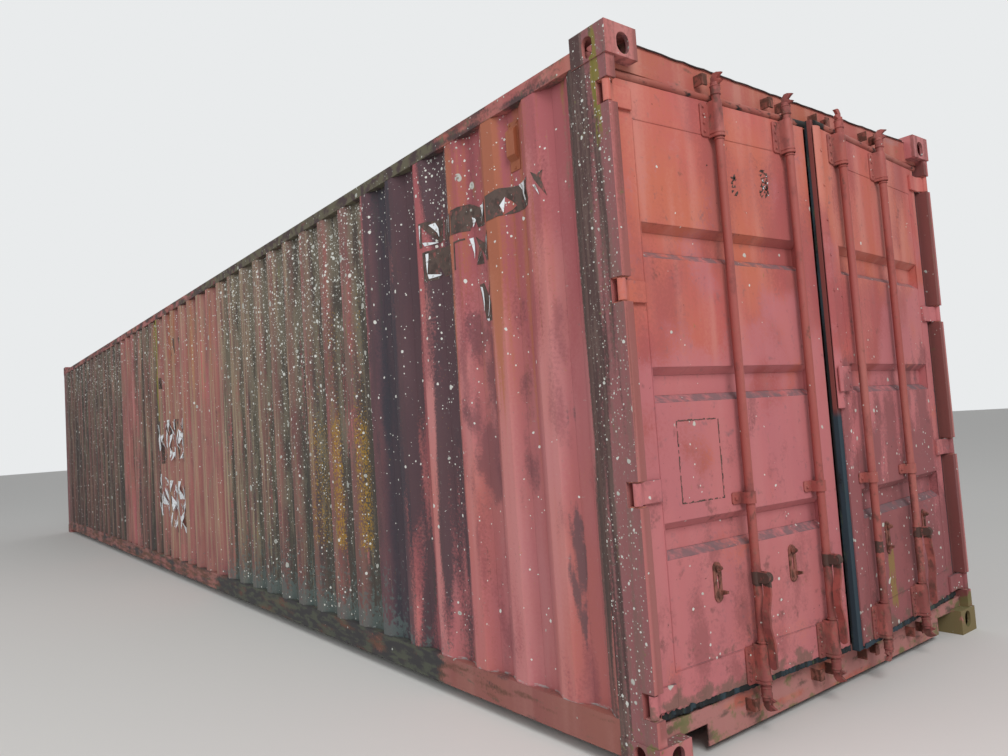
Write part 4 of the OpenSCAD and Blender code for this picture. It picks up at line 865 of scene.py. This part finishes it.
# Their curled corners: the two ends of the fold and the tip, in millimetres, and how far it lifts.
for first, second, tip, lift in (
    ((1284, 2186), (1270, 2184), (1276, 2084), 14), ((1262, 2092), (1240, 2070), (1152, 2074), 12),
    ((1218, 2170), (1184, 2176), (1136, 2090), 22), ((1100, 2174), (1086, 2176), (1080, 2084), 12),
    ((1046, 2166), (1034, 2168), (1030, 2080), 12), ((836, 2160), (806, 2166), (800, 2070), 18),
    ((896, 2130), (870, 2112), (884, 2074), 10), ((664, 2112), (640, 2144), (646, 2074), 5),
    ((566, 2172), (524, 2180), (478, 2074), 26), ((440, 2130), (424, 2128), (398, 2078), 5),
    ((1240, 2040), (1222, 2042), (1226, 1930), 14), ((1232, 1936), (1226, 1914), (1140, 1922), 12),
    ((912, 2032), (894, 2034), (878, 1930), 16), ((856, 1950), (842, 1972), (872, 1914), 10),
    ((790, 2010), (772, 2026), (770, 1920), 14), ((872, 1818), (856, 1814), (822, 1690), 24),
    ((802, 1770), (784, 1760), (772, 1660), 20), ((838, 1668), (826, 1656), (776, 1668), 12),
):
    ends = [Vector((corner[0] / 1000, 0.001, corner[1] / 1000)) for corner in (first, second)]
    tip = Vector((tip[0] / 1000, 0.001, tip[1] / 1000))
    strip = []
    for share in (0.0, 0.3, 0.6, 0.92):
        pair = [end.lerp(tip, share) for end in ends]
        for corner in pair:
            corner.y += 0.001 * lift * share * share
        strip.append([curled.verts.new(corner) for corner in pair])
    for below, above in zip(strip, strip[1:]):
        curled.faces.new((below[0], below[1], above[1], above[0]))
# The far group, where only loose shreds are left.
for box, pitch, left, lifted in (
    ((5.460, 5.800, 1.080, 1.470), 0.036, 0.12, 0.3), ((5.880, 6.390, 1.060, 1.475), 0.036, 0.12, 0.28),
    ((5.460, 5.980, 0.430, 0.900), 0.04, 0.08, 0.3), ((6.020, 6.390, 0.560, 0.960), 0.04, 0.14, 0.24),
    ((6.060, 6.380, 1.790, 1.900), 0.036, 0.3, 0.2), ((5.560, 5.820, 2.060, 2.220), 0.036, 0.4, 0.06),
):
    torn(flat, curled, box, pitch, chance, left, lifted, 3.5)
onto_wall(flat)
onto_wall(curled)
finish("peeled_film_on_wall", flat, old_film, "box", "wall_paint")
finish("curled_film_on_wall", curled, film_back, "box", "wall_paint")
flat, curled, chance = bmesh.new(), bmesh.new(), random.Random(7)
hung = door_axes(-1, 3.4)
for box, pitch, left, lifted in (
    ((0.662, 0.700, 2.060, 2.150), 0.011, 0.3, 0.03), ((0.836, 0.895, 2.070, 2.190), 0.011, 0.3, 0.05),
):
    torn(flat, curled, box, pitch, chance, left, lifted)
# The dark glue line where a placard has come off: a thin broken frame.
start, end, low, high = 0.243, 0.465, 0.886, 1.182
for first, second in (
    ((start, low), (end, low)), ((end, low), (end, high)), ((end, high), (start, high)),
    ((start, high), (start, low)),
):
    steps = 26
    for k in range(steps):
        if chance.random() < 0.12:
            continue
        box = []
        for share in (k / steps, (k + 1) / steps):
            box.append([first[a] + (second[a] - first[a]) * share + chance.uniform(-0.001, 0.001)
                        for a in (0, 1)])
        width = chance.uniform(0.002, 0.0065)
        upright = abs(second[1] - first[1]) > 0.1
        outline = [(box[0][0], box[0][1]), (box[1][0], box[1][1]),
                   (box[1][0] + width * upright, box[1][1] + width * (not upright)),
                   (box[0][0] + width * upright, box[0][1] + width * (not upright))]
        flat.faces.new([flat.verts.new((a, 0.0006, z)) for a, z in outline])
for bm in (flat, curled):
    for vert in bm.verts:
        vert.co.y += door_face
    bmesh.ops.transform(bm, matrix=hung, verts=bm.verts)
    bmesh.ops.recalc_face_normals(bm, faces=bm.faces)
    bmesh.ops.solidify(bm, geom=list(bm.faces), thickness=film_thickness)
finish("peeled_film_on_door", flat, old_film, "left_door", "door_paint")
finish("curled_film_on_door", curled, film_back, "left_door", "door_paint")

# Floor screws: countersunk heads in rows, one row over each cross member.
screw_steel, tree, at, place = begin("worn_zinc_plated_screw_steel")
surface = linear("#8A8784"), 0.5, 0.0
surface = lay(tree, surface, grown(tree, at, 0.5, (0.03, 0.03, 0.03)), "#6B4A38", 0.85, 0.0)
close(tree, surface, 0.0005)
bm = bmesh.new()
for k in range(38):
    for across in (-1.06, -0.64, -0.22, 0.22, 0.64, 1.06):
        bolt(bm, Matrix.Translation((-5.78 + 0.31 * k, across, 0.1696)), 0.006, 0.0012, 10)
finish("floor_screws", bm, screw_steel, "box", "floor_plywood")

# Floor, light and camera of the studio. The camera stands where the photograph was taken from.
bm = bmesh.new()
bmesh.ops.create_grid(bm, x_segments=1, y_segments=1, size=60.0)
ground = bpy.data.objects.new("studio_floor", bpy.data.meshes.new("studio_floor"))
bm.to_mesh(ground.data)
bm.free()
bpy.context.scene.collection.objects.link(ground)
pale, tree, at, place = begin("pale_studio_floor")
shader = add(tree, "BsdfPrincipled", {"Base Color": linear("#DAD9D6"), "Roughness": 0.9})
add(tree, "OutputMaterial", {"Surface": shader.outputs[0]})
ground.data.materials.append(pale)

world = bpy.data.worlds.new("studio")
world.use_nodes = True
bpy.context.scene.world = world
tree = world.node_tree
tree.nodes.clear()
seen = add(tree, "LightPath").outputs
glossy = compute(tree, "MAXIMUM", seen["Is Camera Ray"], seen["Is Glossy Ray"])
clear = compute(tree, "MAXIMUM", glossy, seen["Is Transmission Ray"])
lit = add(tree, "Background", {"Color": linear("#F4F5F7"), "Strength": 0.46})
backdrop = add(tree, "Background", {"Color": linear("#E9EBEC"), "Strength": 1.0})
shown = add(tree, "MixShader", {0: clear, 1: lit.outputs[0], 2: backdrop.outputs[0]})
add(tree, "OutputWorld", {"Surface": shown.outputs[0]})

for name, spot, aim, size, power in (
    ("key", (13.0, -4.0, 8.0), (6.0, 0.0, 1.2), 5.0, 680.0),
    ("fill", (2.0, -13.0, 7.0), (1.0, -1.2, 1.2), 8.0, 480.0),
):
    lamp = bpy.data.lights.new(name, "AREA")
    lamp.size = size
    lamp.energy = power
    holder = bpy.data.objects.new(name, lamp)
    holder.location = spot
    holder.rotation_euler = (Vector(aim) - Vector(spot)).to_track_quat("-Z", "Y").to_euler()
    bpy.context.scene.collection.objects.link(holder)

camera = bpy.data.cameras.new("camera")
camera.sensor_width = 36.0
camera.lens = 27.446
camera.clip_end = 200.0
eye = bpy.data.objects.new("camera", camera)
eye.location = (7.875, -3.126, 1.210)
eye.rotation_euler = (1.632425, 0.066802, 0.918299)
bpy.context.scene.collection.objects.link(eye)
bpy.context.scene.camera = eye
bpy.context.scene.view_settings.view_transform = "Standard"
